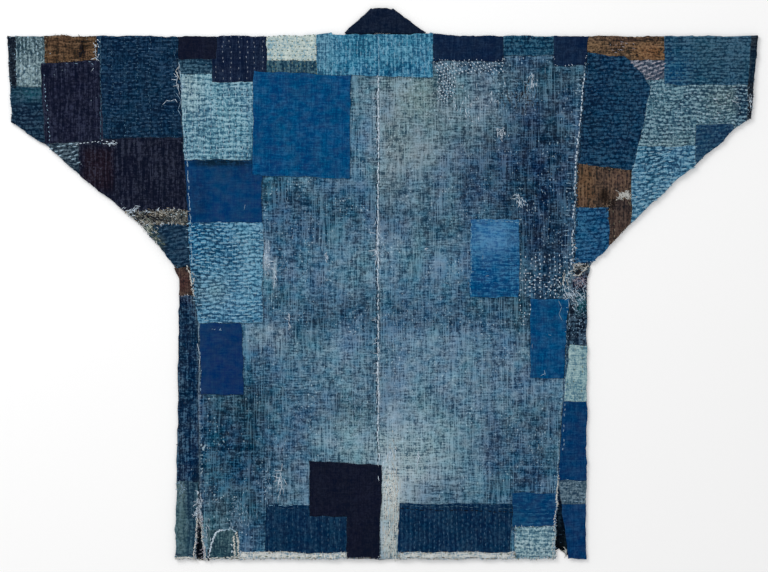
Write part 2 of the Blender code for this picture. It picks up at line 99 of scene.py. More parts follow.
# Each kind of cloth and the pieces made of it.  Colours are sRGB from 0 to 255.  "dark" is how
# much light is left in its darkest threads, and "pale" is the colour of its faded ones.  "warp",
# "weft" and "grain" weigh three kinds of unevenness, "speck" is how much of the cloth shows bare
# white, "tint" is how much its hue varies, and "streak" is how plain its long pale warp threads
# are.  "hold" is how much of their own dye its faded threads keep.
Look = namedtuple(
    "Look", "pieces body dark pale warp weft grain speck tint streak hold", defaults=(0.04, 0, 0.34)
)
LOOKS = table(
    Look,
    (
        "back_left back_right",
        (57, 96, 124), 0.31, (172, 202, 219), 0.85, 1.1, 0.9, 0.12, 0.12, 0.75, 0.51,
    ),
    (
        "front_left front_right sleeve_left sleeve_right",
        (52, 84, 110), 0.4, (112, 142, 160), 0.9, 0.7, 0.8, 0.02, 0.08,
    ),
    ("collar", (17, 28, 47), 0.65, (32, 43, 62), 0.5, 0.5, 0.6, 0),
    ("cuff_band_left cuff_band_right", (20, 28, 38), 0.55, (62, 76, 86), 0.4, 0.9, 0.8, 0.02),
    ("sleeve_left_pale_teal", (66, 87, 95), 0.34, (158, 180, 186), 0.7, 0.6, 0.9, 0.05),
    ("sleeve_right_grey_teal", (68, 104, 122), 0.34, (164, 190, 198), 0.4, 0.9, 0.9, 0.05),
    ("sleeve_left_brown", (72, 54, 40), 0.4, (128, 104, 80), 0.5, 0.9, 0.8, 0.02),
    ("sleeve_right_brown", (88, 70, 54), 0.38, (150, 124, 96), 0.4, 1, 0.9, 0.02),
    ("sleeve_right_tobacco", (74, 60, 52), 0.42, (124, 104, 84), 1, 0.4, 0.6, 0),
    ("sleeve_right_dark_brown side_left_brown", (64, 51, 47), 0.55, (98, 84, 76), 0.8, 0.5, 0.6, 0),
    ("sleeve_left_plum", (22, 26, 44), 0.5, (60, 66, 86), 1, 0.5, 0.6, 0.01),
    ("sleeve_left_black", (20, 24, 40), 0.55, (62, 68, 84), 1, 0.5, 0.6, 0.02),
    ("hem_black shoulder_left_black", (18, 22, 38), 0.75, (28, 34, 52), 0.4, 0.4, 0.5, 0),
    ("sleeve_left_cuff_navy", (20, 42, 62), 0.42, (68, 90, 108), 0.5, 1, 0.8, 0.03),
    ("sleeve_left_grid_navy", (11, 38, 62), 0.45, (50, 76, 102), 0.7, 0.7, 0.8, 0.01),
    ("sleeve_right_navy_rows", (15, 49, 77), 0.38, (64, 100, 126), 0.5, 1, 0.8, 0.01),
    ("sleeve_left_pale_dashes", (38, 53, 66), 0.4, (124, 142, 152), 0.3, 1, 0.8, 0.06),
    ("sleeve_left_frayed_band", (80, 82, 80), 0.3, (176, 172, 160), 0.6, 0.8, 1, 0.2),
    ("sleeve_left_underarm_blue", (20, 46, 68), 0.5, (62, 88, 108), 0.4, 1, 0.7, 0.02),
    ("shoulder_left_navy_rows", (19, 30, 53), 0.6, (44, 58, 80), 1, 0.4, 0.6, 0.01),
    ("shoulder_left_steel", (28, 57, 77), 0.42, (96, 124, 142), 0.6, 0.9, 0.8, 0.05),
    ("back_left_sky_rows", (86, 131, 150), 0.42, (178, 204, 214), 0.6, 0.9, 0.9, 0.04),
    (
        "back_left_bright_block back_right_bright_lower",
        (10, 68, 112), 0.66, (38, 96, 140), 0.7, 0.9, 0.7, 0,
    ),
    ("back_left_mid_blue", (13, 56, 99), 0.78, (24, 68, 110), 0.6, 0.9, 0.6, 0),
    ("back_left_royal", (18, 49, 91), 0.82, (26, 60, 100), 0.5, 0.7, 0.5, 0),
    ("back_left_wavy_sky", (52, 104, 138), 0.34, (146, 188, 210), 0.6, 1, 0.8, 0.03),
    ("shoulder_cream", (172, 186, 182), 0.72, (212, 222, 216), 0.6, 0.7, 0.9, 0),
    ("shoulder_green_strip", (40, 72, 90), 0.45, (98, 128, 134), 0.9, 0.5, 0.8, 0.03),
    ("neck_sky", (40, 107, 138), 0.4, (136, 182, 204), 1, 0.7, 0.8, 0.03),
    ("shoulder_right_black shoulder_right_dark", (16, 33, 59), 0.7, (32, 52, 80), 0.5, 0.5, 0.5, 0),
    ("shoulder_right_teal", (17, 58, 84), 0.38, (84, 122, 142), 0.5, 0.9, 0.8, 0.01),
    ("back_right_bright_upper", (16, 78, 122), 0.6, (84, 140, 178), 0.4, 1, 0.6, 0.01),
    ("sleeve_right_teal", (27, 65, 89), 0.42, (90, 124, 146), 0.6, 1, 0.8, 0.02),
    ("sleeve_right_dark_teal", (30, 64, 92), 0.5, (70, 104, 128), 0.5, 0.9, 0.8, 0.02),
    ("sleeve_right_wavy_blue", (64, 112, 142), 0.32, (160, 196, 212), 0.4, 1, 0.8, 0.05),
    ("sleeve_right_pale_pink", (74, 84, 100), 0.36, (170, 174, 184), 0.3, 1, 0.8, 0.08),
    ("sleeve_right_underarm_blue", (22, 70, 108), 0.4, (88, 134, 166), 0.4, 1, 0.8, 0.03),
    ("hem_left_rows hem_right_rows", (11, 43, 72), 0.55, (42, 72, 98), 1, 0.5, 0.7, 0),
    ("hem_right_mid_blue", (16, 64, 104), 0.65, (44, 92, 128), 0.3, 1, 0.6, 0),
    ("hem_right_pale", (122, 152, 162), 0.42, (196, 214, 218), 0.6, 0.9, 0.9, 0.05),
    ("hem_left_mend", (44, 72, 84), 0.45, (112, 136, 140), 0.9, 0.6, 0.9, 0.05),
    ("hem_binding_left hem_binding_right", (190, 194, 192), 0.55, (222, 224, 222), 0.7, 0.9, 1, 0.1),
    ("side_right_pale", (130, 161, 167), 0.5, (178, 200, 200), 0.6, 0.8, 0.8, 0.04),
    ("side_right_navy", (10, 54, 96), 0.66, (34, 74, 114), 0.6, 0.6, 0.6, 0),
    ("side_right_grey", (64, 88, 104), 0.5, (134, 154, 166), 0.7, 0.9, 0.9, 0.06),
    ("side_right_blue", (11, 51, 92), 0.66, (32, 74, 116), 0.6, 0.8, 0.6, 0),
    ("side_left_teal", (40, 70, 86), 0.5, (96, 124, 136), 0.9, 0.7, 0.9, 0.06),
)

# Soft-edged areas where the colour of these pieces is lighter, darker or of another hue: mostly
# their dye, and some painted shadows beside the centre seam and under the edges of patches.  A
# higher "edge" gives an area a sharper border.  Without a colour it is painted shade: a dark
# inside, seen through a slit or hole.
Fade = namedtuple("Fade", "across down width height colour amount edge", defaults=(2,))
FADES_AND_SHADES = {
    "back_left back_right": [
        (60, 120, 130, 120, (102, 128, 137), 0.9),
        (8, 180, 26, 130, (124, 136, 140), 0.7),
        (60, 100, 60, 36, (116, 136, 134), 0.6),
        (55, 190, 40, 30, (122, 136, 138), 0.6),
        (155, 46, 60, 14, (34, 52, 78), 0.8, 3),
        (104, 78, 17, 30, (56, 84, 104), 0.7, 3),
        (-30, 150, 40, 110, (74, 110, 132), 0.6),
        (250, 110, 110, 90, (50, 76, 100), 0.85),
        (250, 240, 110, 140, (11, 33, 58), 1),
        (300, 90, 40, 160, (34, 60, 84), 0.8),
        (285, 390, 80, 90, (20, 42, 68), 0.95),
        (200, 212, 80, 50, (40, 68, 96), 0.7),
        (150, 262, 90, 34, (34, 62, 88), 0.6),
        (160, 108, 24, 60, (106, 132, 146), 0.6),
        (-160, 285, 26, 60, (36, 70, 96), 0.6),
        (-40, 262, 26, 26, (50, 86, 110), 0.6),
        (2, 450, 60, 26, (46, 78, 102), 0.6),
        # Painted shadow beside the centre seam.
        (-4, 580, 16, 46, (52, 82, 104), 0.7),
        (-105, 262, 90, 34, (44, 82, 108), 0.55),
        (40, 306, 120, 24, (46, 78, 102), 0.75),
        (-40, 355, 44, 26, (96, 128, 148), 0.6),
        (-25, 402, 44, 34, (96, 128, 148), 0.6),
        (60, 453, 210, 24, (44, 76, 100), 0.6),
        (-95, 453, 60, 30, (34, 68, 94), 0.65),
        (85, 502, 60, 26, (106, 136, 154), 0.6),
        (-160, 505, 30, 26, (84, 114, 134), 0.5),
        (-120, 600, 70, 44, (46, 78, 102), 0.6),
        (-110, 705, 40, 36, (62, 92, 114), 0.6),
        (2, 549, 24, 30, (66, 94, 114), 0.45, 3),
        (231, 486, 14, 60, (46, 74, 94), 0.45, 3),
        (-110, 453, 44, 24, (44, 76, 100), 0.35, 3),
        (0, 453, 60, 20, (48, 78, 100), 0.35, 3),
        (-72, 500, 44, 28, (92, 124, 144), 0.35),
        (-52, 402, 34, 26, (96, 128, 146), 0.35),
        (60, 260, 40, 26, (96, 120, 134), 0.35),
        (-60, 205, 40, 24, (76, 112, 136), 0.4, 3),
        (163, 700, 30, 34, (98, 128, 148), 0.6),
        (225, 672, 50, 46, (38, 70, 94), 0.75),
        (-200, 400, 20, 260, (44, 78, 104), 0.5),
        (55, 330, 70, 55, (90, 124, 144), 0.8),
        (70, 420, 120, 40, (58, 92, 118), 0.5),
        (-120, 280, 60, 90, (58, 92, 116), 0.6),
        (-140, 400, 90, 50, (58, 90, 114), 0.5),
        (110, 560, 160, 60, (92, 122, 144), 0.75),
        (72, 658, 92, 76, (118, 149, 162), 0.86),
        (34, 715, 56, 60, (152, 170, 176), 0.9),
        (12, 785, 17, 70, (184, 192, 188), 0.9, 4),
        (-45, 650, 50, 60, (112, 144, 156), 0.85),
        (-70, 545, 60, 50, (90, 122, 142), 0.6),
        (225, 720, 80, 100, (50, 84, 112), 0.8),
        (240, 640, 70, 60, (64, 90, 108), 0.5),
        (-250, 690, 66, 150, (22, 57, 84), 0.95, 5),
        (-165, 690, 34, 100, (50, 84, 108), 0.6, 3),
        (-270, 800, 40, 50, (62, 92, 106), 0.8, 3),
        (-235, 600, 60, 30, (46, 72, 88), 0.7),
        (-150, 740, 30, 60, (84, 112, 132), 0.7),
        # Painted shade on both sides of the centre seam.
        (4, 306, 34, 28, (34, 64, 88), 0.6),
        (4, 576, 22, 52, (40, 72, 96), 0.6),
        (215, 205, 70, 30, (18, 42, 66), 0.45),
        (-160, 290, 30, 60, (30, 62, 88), 0.45),
        (40, 453, 270, 26, (36, 66, 92), 0.5, 3),
        (235, 660, 60, 50, (30, 58, 84), 0.4),
        (-190, 735, 44, 50, (38, 68, 88), 0.5),
        (-302, 520, 9, 130, (16, 46, 76), 1, 6),
        (-300, 600, 10, 190, (16, 44, 72), 0.85, 6),
        (-190, 360, 7, 24, (150, 168, 182), 0.6, 3),
        (-176, 385, 2.5, 24, (170, 188, 200), 0.6, 3),
        (12, 730, 12, 34, (206, 214, 214), 0.8, 3),
        (8, 665, 22, 26, (160, 178, 184), 0.6, 3),
        (85, 742, 40, 18, (62, 94, 114), 0.8, 3),
        (-52, 262, 30, 20, (24, 72, 100), 0.4, 3),
        (-106, 655, 34, 18, (104, 136, 154), 0.5, 3),
        (-180, 255, 24, 38, (24, 58, 86), 0.65, 3),
        (270, 175, 40, 30, (18, 40, 64), 0.5, 3),
        (270, 250, 40, 34, (14, 40, 66), 0.4, 3),
        (6, 112, 9, 30, (74, 98, 112), 0.7, 3),
        (108, 52, 24, 12, (96, 122, 138), 0.6, 3),
        (-278, 680, 18, 50, (20, 54, 80), 0.5, 3),
        (-185, 485, 34, 16, (118, 142, 156), 0.65, 3),
        (-52, 160, 34, 30, (24, 70, 108), 0.5, 3),
        (-52, 262, 32, 22, (26, 74, 104), 0.55, 3),
        (0, 307, 30, 22, (48, 78, 98), 0.5),
        (255, 312, 44, 20, (12, 32, 56), 0.6),
        (5, 585, 26, 58, (64, 92, 112), 0.5),
        (-213, 672, 30, 36, (14, 46, 72), 0.5),
        (217, 702, 34, 26, (22, 60, 90), 0.6),
        (56, 453, 30, 20, (42, 72, 96), 0.4),
        (-106, 453, 34, 20, (38, 68, 92), 0.4),
        (190, 212, 70, 24, (22, 46, 74), 0.4),
        (-159, 262, 36, 24, (28, 60, 84), 0.45),
        (-106, 306, 40, 24, (24, 56, 82), 0.4),
        (262, 210, 34, 26, (22, 46, 72), 0.35),
        (-159, 505, 26, 24, (96, 124, 142), 0.5),
        (228, 450, 26, 40, (38, 64, 84), 0.6),
        (235, 270, 60, 40, (16, 38, 60), 0.4),
        # Painted shadow under the bottom edge of the patch above.
        (-70, 262, 70, 28, (34, 62, 84), 0.6),
        (-120, 306, 60, 24, (32, 62, 86), 0.5),
        (60, 306, 90, 22, (36, 66, 90), 0.5),
        (-60, 602, 60, 30, (42, 72, 96), 0.55),
        (105, 600, 40, 26, (60, 94, 114), 0.4),
        (-213, 680, 40, 80, (20, 48, 72), 0.55),
        (13, 791, 12, 15, (110, 138, 150), 0.6),
        (13, 832, 12, 13, (196, 200, 194), 0.5),
        (14, 620, 9, 26, (146, 172, 186), 0.6),
    ],
    "hem_binding_left": [(-80, 846, 60, 12, (222, 220, 212), 0.6)],
    "back_left_sky_rows": [
        (-215, 150, 20, 60, (64, 112, 138), 0.7),
        (-318, 86, 24, 40, (138, 162, 168), 0.8),
        (-300, 160, 34, 36, (84, 124, 142), 0.5),
        (-250, 160, 40, 30, (86, 132, 152), 0.6),
    ],
    "back_left_wavy_sky": [
        (-213, 355, 22, 40, (90, 144, 170), 0.7),
        (-222, 354, 20, 60, (104, 152, 174), 0.5),
        (-285, 340, 20, 100, (34, 86, 120), 0.7),
        (-240, 420, 50, 50, (84, 134, 162), 0.6),
        (-250, 354, 22, 26, (24, 78, 110), 0.6),
        (-306, 340, 12, 50, (20, 84, 124), 0.85, 5),
        (-304, 412, 11, 38, (22, 58, 84), 0.85, 4),
        (-272, 415, 22, 22, (122, 160, 170), 0.6),
    ],
    "front_left": [
        (-297, 750, 12, 60, (30, 56, 78), 1, 4),
        # Painted shade: the dark inside seen through the slit.
        (-297, 868, 12, 86, None, 0.95, 6),
        (-325, 580, 40, 190, (15, 43, 70), 1, 10),
        (-325, 427, 30, 6, (24, 22, 36), 0.9, 4),
        (-322, 444, 26, 20, (6, 28, 54), 0.8, 3),
        (-335, 600, 12, 150, (24, 44, 66), 0.7, 4),
    ],
    "front_right": [
        (288, 750, 20, 60, (13, 46, 80), 1, 4),
        # Painted shade: the dark inside seen through the slit.
        (288, 874, 20, 92, None, 0.98, 6),
        (289, 782, 9, 34, None, 0.75, 4),
        (320, 440, 40, 80, (18, 31, 48), 1, 5),
        (323, 434, 9, 14, (28, 84, 96), 0.9, 4),
        (322, 396, 14, 12, (54, 52, 72), 0.7, 3),
    ],
    # Painted shade: a dark inside seen through a hole.
    "sleeve_left_brown": [(-488, 20, 4, 13, None, 0.7, 3)],
    "sleeve_right_tobacco": [
        # Painted shade: a dark inside seen through a hole.
        (359, 258, 8, 12, None, 0.75, 3),
        (330, 242, 16, 36, (118, 84, 54), 0.4, 3),
        (386, 232, 26, 18, (82, 62, 60), 0.5),
    ],
    "side_left_brown": [(-325, 400, 16, 16, (70, 44, 44), 0.8)],
    "side_left_teal": [
        (-330, 742, 8, 24, (100, 120, 120), 0.65, 3),
        (-332, 800, 14, 60, (80, 106, 108), 0.6, 3),
        (-312, 760, 8, 50, (16, 44, 68), 0.6, 3),
    ],
    "sleeve_right_underarm_blue front_right": [(326, 377, 22, 9, (30, 34, 30), 0.9, 4)],
    "sleeve_right_brown": [
        (395, 3, 70, 5, (54, 38, 40), 0.6, 3),
        (382, 14, 15, 10, (64, 46, 42), 0.6),
        (436, 26, 26, 14, (122, 84, 56), 0.7, 3),
    ],
    "sleeve_right_dark_brown": [(390, 274, 26, 10, (40, 36, 38), 0.8, 3)],
    "sleeve_left_underarm_blue": [
        (-384, 318, 14, 26, (62, 74, 70), 0.8, 3),
        (-368, 344, 12, 22, (66, 78, 74), 0.7, 3),
    ],
    "cuff_band_right": [(604, 46, 22, 28, (13, 34, 52), 1, 6)],
    "back_right_bright_upper": [
        (180, 325, 45, 34, (84, 138, 178), 0.8),
        (190, 400, 50, 36, (18, 74, 120), 0.75),
        (214, 350, 14, 50, (14, 68, 110), 0.55, 3),
    ],
    "back_left_mid_blue": [
        (-270, 232, 30, 30, (18, 62, 100), 0.6),
        (-235, 215, 40, 22, (16, 50, 86), 0.7),
        (-300, 262, 18, 40, (12, 42, 80), 0.7, 3),
        # Painted shadow along this patch's top, under the bottom edge of the patch above.
        (-262, 203, 52, 8, (10, 30, 44), 0.95, 4),
    ],
    "neck_sky": [
        (30, 20, 60, 30, (72, 130, 158), 0.7),
        (0, 60, 90, 14, (26, 88, 124), 0.8),
        (-100, 10, 20, 60, (108, 152, 172), 0.6),
    ],
    "sleeve_left_pale_teal": [(-580, 60, 30, 26, (134, 156, 162), 0.6)],
    "sleeve_left_cuff_navy": [(-570, 92, 30, 14, (38, 84, 98), 0.8)],
    "sleeve_right_teal": [
        (570, 20, 60, 40, (52, 86, 104), 0.5),
        (470, 60, 30, 30, (24, 78, 116), 0.8),
    ],
    "sleeve_right_grey_teal": [
        (560, 100, 40, 30, (96, 118, 122), 0.8),
        (470, 190, 40, 26, (112, 138, 144), 0.7),
        (586, 112, 13, 60, (22, 54, 80), 0.85, 4),
    ],
    "sleeve_right_navy_rows": [(330, 130, 14, 80, (10, 36, 62), 0.6, 3)],
    "sleeve_left_black": [(-463, 216, 26, 36, (28, 20, 30), 0.95, 8)],
    "sleeve_right_wavy_blue": [(430, 190, 30, 26, (34, 86, 112), 0.6)],
    "hem_right_pale": [(240, 810, 50, 16, (90, 132, 150), 0.7)],
    "side_right_blue": [(318, 800, 40, 50, (16, 56, 98), 0.5)],
}

# The studio light is this much brighter than the light that the colours were judged in.
DYE_DEPTH = 1 / 1.06


def linear(colour):
    """An sRGB colour from 0 to 255 as linear light."""
    share = np.asarray(colour, float) / 255
    return DYE_DEPTH * np.where(share <= 0.04045, share / 12.92, ((share + 0.055) / 1.055) ** 2.4)


# ---------------------------------------------------------------- shape

def place(across, down, level=0.0):
    return Vector((across, SHOULDER_Y - down, level)) * MM


def waves(seed, wavelength, count=14):
    """A smooth random field over the garment, mostly between -1 and 1."""
    draw = np.random.default_rng(seed)
    turns = draw.uniform(0, 2 * math.pi, count)
    starts = draw.uniform(0, 2 * math.pi, count)
    lengths = wavelength * draw.uniform(0.7, 1.4, count)

    def field(across, down):
        total = 0
        for turn, start, length in zip(turns, starts, lengths):
            along = across * math.cos(turn) + down * math.sin(turn)
            total = total + np.sin(2 * math.pi * along / length + start)
        return total / math.sqrt(count)

    return field


# The same small sideways shift for every layer makes all edges and seams a little uneven.
SHIFT_FIELDS = (
    (0.9, waves(11, 46), waves(12, 46)),
    (0.45, waves(13, 15), waves(14, 15)),
    (0.28, waves(15, 7), waves(16, 7)),
)


def shifted(across, down):
    for reach, sideways, downwards in SHIFT_FIELDS:
        across, down = across + reach * sideways(across, down), down + reach * downwards(across, down)
    return across, down


# Soft creases of the upper layer, and of both layers together: a ridge "length" by "breadth",
# turned from across, in millimetres.
Crease = namedtuple("Crease", "across down length breadth turn height")
UPPER_CREASES = table(
    Crease,
    (-22, 260, 190, 7, 91, 0.55),
    (14, 330, 230, 6, 89, 0.6),
    (-18, 620, 150, 6, 90, 0.5),
    (10, 640, 130, 8, 91, 0.45),
    (120, 190, 90, 9, 62, 0.55),
    (205, 160, 70, 8, 100, 0.6),
    (262, 330, 80, 7, 18, 0.7),
    (238, 352, 64, 6, 24, 0.55),
    (285, 300, 60, 6, 40, 0.6),
    (-130, 330, 100, 9, 72, 0.6),
    (-170, 420, 70, 7, 96, 0.5),
    (-90, 480, 120, 8, 8, 0.45),
    (90, 520, 110, 9, 172, 0.5),
    (150, 640, 90, 8, 80, 0.55),
    (60, 700, 60, 7, 100, 0.45),
    (-240, 650, 90, 9, 84, 0.65),
    (-215, 760, 60, 7, 95, 0.55),
    (-272, 142, 46, 4, 166, 0.9),
    (-300, 150, 30, 3, 80, 0.6),
    (-128, 765, 62, 3, 2, 0.7),
    (110, 762, 96, 3, 2, 0.8),
    (-420, 200, 80, 8, 150, 0.6),
    (-380, 130, 70, 8, 20, 0.5),
    (-500, 120, 60, 8, 96, 0.5),
    (-350, 330, 50, 6, 130, 0.8),
    (-338, 300, 44, 5, 115, 0.6),
    (370, 170, 80, 8, 12, 0.5),
    (460, 130, 70, 8, 160, 0.6),
    (520, 60, 80, 8, 8, 0.5),
    (420, 250, 70, 7, 42, 0.6),
    (345, 330, 44, 5, 60, 0.8),
    (0, 838, 260, 6, 1, 0.45),
    (170, 842, 70, 5, 178, 0.5),
)
SHARED_CREASES = table(
    Crease,
    (-210, 300, 150, 16, 66, 1.1),
    (190, 240, 140, 18, 112, 1.2),
    (-150, 620, 130, 16, 98, 1),
    (160, 560, 160, 18, 82, 1.1),
    (210, 760, 90, 14, 20, 0.9),
    (-260, 500, 80, 14, 150, 0.9),
    (-450, 150, 100, 14, 140, 0.9),
    (450, 180, 110, 15, 38, 1),
    (-390, 70, 90, 13, 12, 0.8),
    (520, 90, 70, 13, 170, 0.8),
    (60, 180, 120, 16, 80, 0.9),
    (-60, 740, 90, 14, 100, 0.8),
)


def crease_height(creases, across, down):
    height = 0.0
    for crease in creases:
        turn = math.radians(crease.turn)
        aside, below = across - crease.across, down - crease.down
        along = (aside * math.cos(turn) + below * math.sin(turn)) / crease.length
        over = (below * math.cos(turn) - aside * math.sin(turn)) / crease.breadth
        bend = 0.6 * np.sin(3.1 * along + crease.across)
        height = height + crease.height * np.exp(-(along**4) - (over + bend) ** 2)
    return height


PUCKERS = ((0.30, waves(21, 34)), (0.16, waves(22, 13)))


def pucker_height(across, down):
    return sum(reach * (1 + field(across, down)) for reach, field in PUCKERS)


# Where the under layer is torn away at the foot of a slit, and how far its hem is drawn up.
Torn = namedtuple("Torn", "piece across width top rise slant")
TORN = (Torn("front_right", 291, 15, 800, 14, -0.6),)


def drawn_up(node, across, down):
    """How far a piece's hem is drawn up at each place."""
    rise = 0.0
    for torn in TORN:
        if torn.piece == node:
            near = np.exp(-(((across - torn.across) / torn.width) ** 4))
            low = np.clip((down - torn.top) / (BODY_LENGTH - torn.top), 0, 1) ** 2
            rise = rise + near * low * (torn.rise + torn.slant * (across - torn.across))
    return rise


def settle(across, down, level):
    """The shifted and raised place of points at these places and heights, in millimetres."""
    upper = np.clip((level - LOWER_TOP) / (UPPER_BOTTOM - LOWER_TOP), 0, 1)
    lift = crease_height(SHARED_CREASES, across, down)
    lift = lift + upper * crease_height(UPPER_CREASES, across, down)
    lift = lift + upper * pucker_height(across, down)
    new_across, new_down = shifted(across, down)
    return new_across, new_down, level + lift


# ---------------------------------------------------------------- rows of stitches

# Running stitches in rows over a piece, in millimetres.  "run" is 0 for rows across and 90 for
# rows down, "pitch" is from row to row, "brick" shifts every other row by that share of a stitch
# and gap, "wobble" is how far a row strays, "puff" is how far the cloth stands up between rows,
# "mark" is how pale the cloth is under its stitches, or how dark where it is below 0, and "cover"
# is the share of stitches still there.
Rows = namedtuple("Rows", "piece run pitch stitch gap width thread brick wobble puff mark cover")
ROWS = table(
    Rows,
    ("cuff_band_left", 0, 7, 4, 5, 1.3, "slate", 0.5, 1, 0.3, 0.4, 0.4),
    ("cuff_band_right", 0, 7, 4, 5, 1.3, "slate", 0.5, 1, 0.3, 0.4, 0.4),
    ("sleeve_left_pale_teal", 90, 6.4, 5, 4.6, 1.6, "haze", 0.5, 0.9, 0.4, 0.7, 0.6),
    ("sleeve_left_pale_teal", 0, 7, 3, 5.2, 1.6, "lake", 0, 0.9, 0, 0, 0.6),
    ("sleeve_left_brown", 0, 8.6, 4.2, 4.6, 1.7, "umber", 0, 1.2, 0.5, -0.5, 0.6),
    ("sleeve_left_pale_dashes", -14, 6.6, 7.4, 3.4, 2, "haze", 0.5, 1.2, 0.4, 0.8, 0.8),
    ("sleeve_left_cuff_navy", 0, 7, 4.6, 4, 1.5, "denim", 0.5, 1.8, 0.5, 1, 0.5),
    ("sleeve_left_plum", 90, 9.5, 5, 6, 1.1, "dusk", 0.5, 0.8, 0.35, 0.6, 0.7),
    ("sleeve_left_black", 90, 9, 5, 6, 1.1, "dusk", 0.5, 0.9, 0.35, 0.6, 0.6),
    ("sleeve_left_grid_navy", 0, 6.6, 6.4, 3.6, 1.4, "denim", 0.5, 2.6, 0.45, 0.7, 0.6),
    ("sleeve_left_grid_navy", 90, 20, 3, 3, 1.3, "steel", 0, 0.8, 0, 0, 0.7),
    ("sleeve_left_underarm_blue", -16, 7, 6, 4, 1.6, "denim", 0.5, 1, 0.5, 1, 0.7),
    ("sleeve_right_navy_rows", 0, 7.2, 5, 4, 1.3, "denim", 0.5, 1.6, 0.5, 1, 0.6),
    ("sleeve_right_brown", 0, 6.4, 4.4, 3.6, 1.6, "umber", 0.5, 1.2, 0.4, -0.5, 0.4),
    ("sleeve_right_pale_pink", -20, 6.6, 7.6, 3.6, 2.2, "rose", 0.5, 1, 0.4, 0.8, 0.9),
    ("sleeve_right_teal", 0, 6, 5.6, 3.4, 1.6, "steel", 0.5, 0.9, 0.45, 1, 0.75),
    ("sleeve_right_dark_teal", -6, 6.6, 5, 4, 1.5, "steel", 0.5, 1.6, 0.45, 1, 0.6),
    ("sleeve_right_grey_teal", 0, 6.2, 5.6, 3.4, 1.7, "haze", 0.5, 1.8, 0.45, 0.9, 0.6),
    ("sleeve_right_grey_teal", 0, 6.6, 2.6, 4.4, 1.8, "night", 0, 1.4, 0, 0, 0.5),
    ("sleeve_right_wavy_blue", -8, 6.6, 9.6, 3, 2, "mist", 0.5, 3, 0.55, 0.9, 0.8),
    ("sleeve_right_dark_brown", 90, 8, 5, 5, 1.4, "tan", 0.5, 0.8, 0.4, -0.5, 0.35),
    ("sleeve_right_tobacco", 90, 6.6, 4, 4.4, 1.5, "umber", 0.5, 0.8, 0.4, -0.5, 0.7),
    ("sleeve_right_underarm_blue", -6, 7, 7, 4, 1.9, "azure", 0.5, 2.6, 0.55, 1, 0.8),
    ("side_left_brown", -40, 8, 7, 5, 1.4, "umber", 0.5, 1, 0.3, 0, 0.8),
    ("hem_left_rows", 90, 9.8, 4.4, 4, 1.4, "denim", 0.5, 0.6, 0.4, 0.5, 0.75),
    ("hem_right_rows", 90, 7.6, 4.8, 4, 1.5, "denim", 0.5, 0.9, 0.4, 0.7, 0.8),
    ("hem_right_mid_blue", 0, 7.4, 8, 5, 1.3, "azure", 0.5, 0.8, 0.3, 0.5, 0.4),
    ("hem_right_pale", 0, 7, 3.6, 4, 1.7, "lake", 0.5, 1.4, 0.5, -0.7, 0.7),
    ("neck_sky", 90, 6.8, 9.4, 2.4, 1.6, "frost", 0.5, 0.6, 0.4, 0.5, 0.5),
    ("shoulder_cream", 0, 7.4, 2.8, 5.6, 2.3, "sage", 0.5, 0.8, 0.4, -0.1, 0.9),
    ("shoulder_green_strip", 90, 6.4, 4, 4, 1.6, "sage", 0.5, 0.8, 0.3, 0.8, 0.7),
    ("shoulder_left_navy_rows", 90, 13, 3.8, 4.6, 1.6, "pewter", 0, 0.5, 0.5, 0.3, 0.9),
    ("shoulder_left_steel", 0, 6.6, 4.4, 4, 1.5, "steel", 0.5, 1, 0.35, 0.8, 0.7),
    ("back_left_sky_rows", 0, 8.6, 3.8, 6.2, 2.5, "teal", 0, 1.3, 0.5, -0.7, 0.9),
    ("back_left_sky_rows", 90, 10, 9, 3, 1.3, "haze", 0, 0.8, 0, 0, 0.7),
    ("back_left_wavy_sky", 0, 6.4, 9.6, 2.8, 1.9, "mist", 0.5, 2.8, 0.55, 1, 0.75),
    ("shoulder_right_teal", 0, 7, 4.4, 4, 1.5, "steel", 0.5, 1, 0.35, 0.9, 0.6),
    ("back_right_bright_upper", 0, 8, 8, 5, 1.3, "azure", 0.5, 1, 0.35, 0.5, 0.4),
    ("side_left_teal", 90, 8, 4, 5, 1.4, "steel", 0.5, 0.8, 0.3, 0.6, 0.6),
    ("side_right_pale", 90, 12, 3.2, 7, 2, "sage", 0.5, 0.8, 0.4, -0.4, 0.7),
    ("side_right_grey", 0, 6.4, 5, 4, 1.4, "pale", 0.5, 1.4, 0.3, 0.5, 0.5),
    ("front_left", 90, 7.4, 5.4, 5.4, 1.3, "slate", 0.5, 1.6, 0, 0.3, 0.4),
    ("front_right", 0, 7, 4.6, 5.4, 1.3, "slate", 0.5, 1.6, 0, 0.4, 0.4),
)

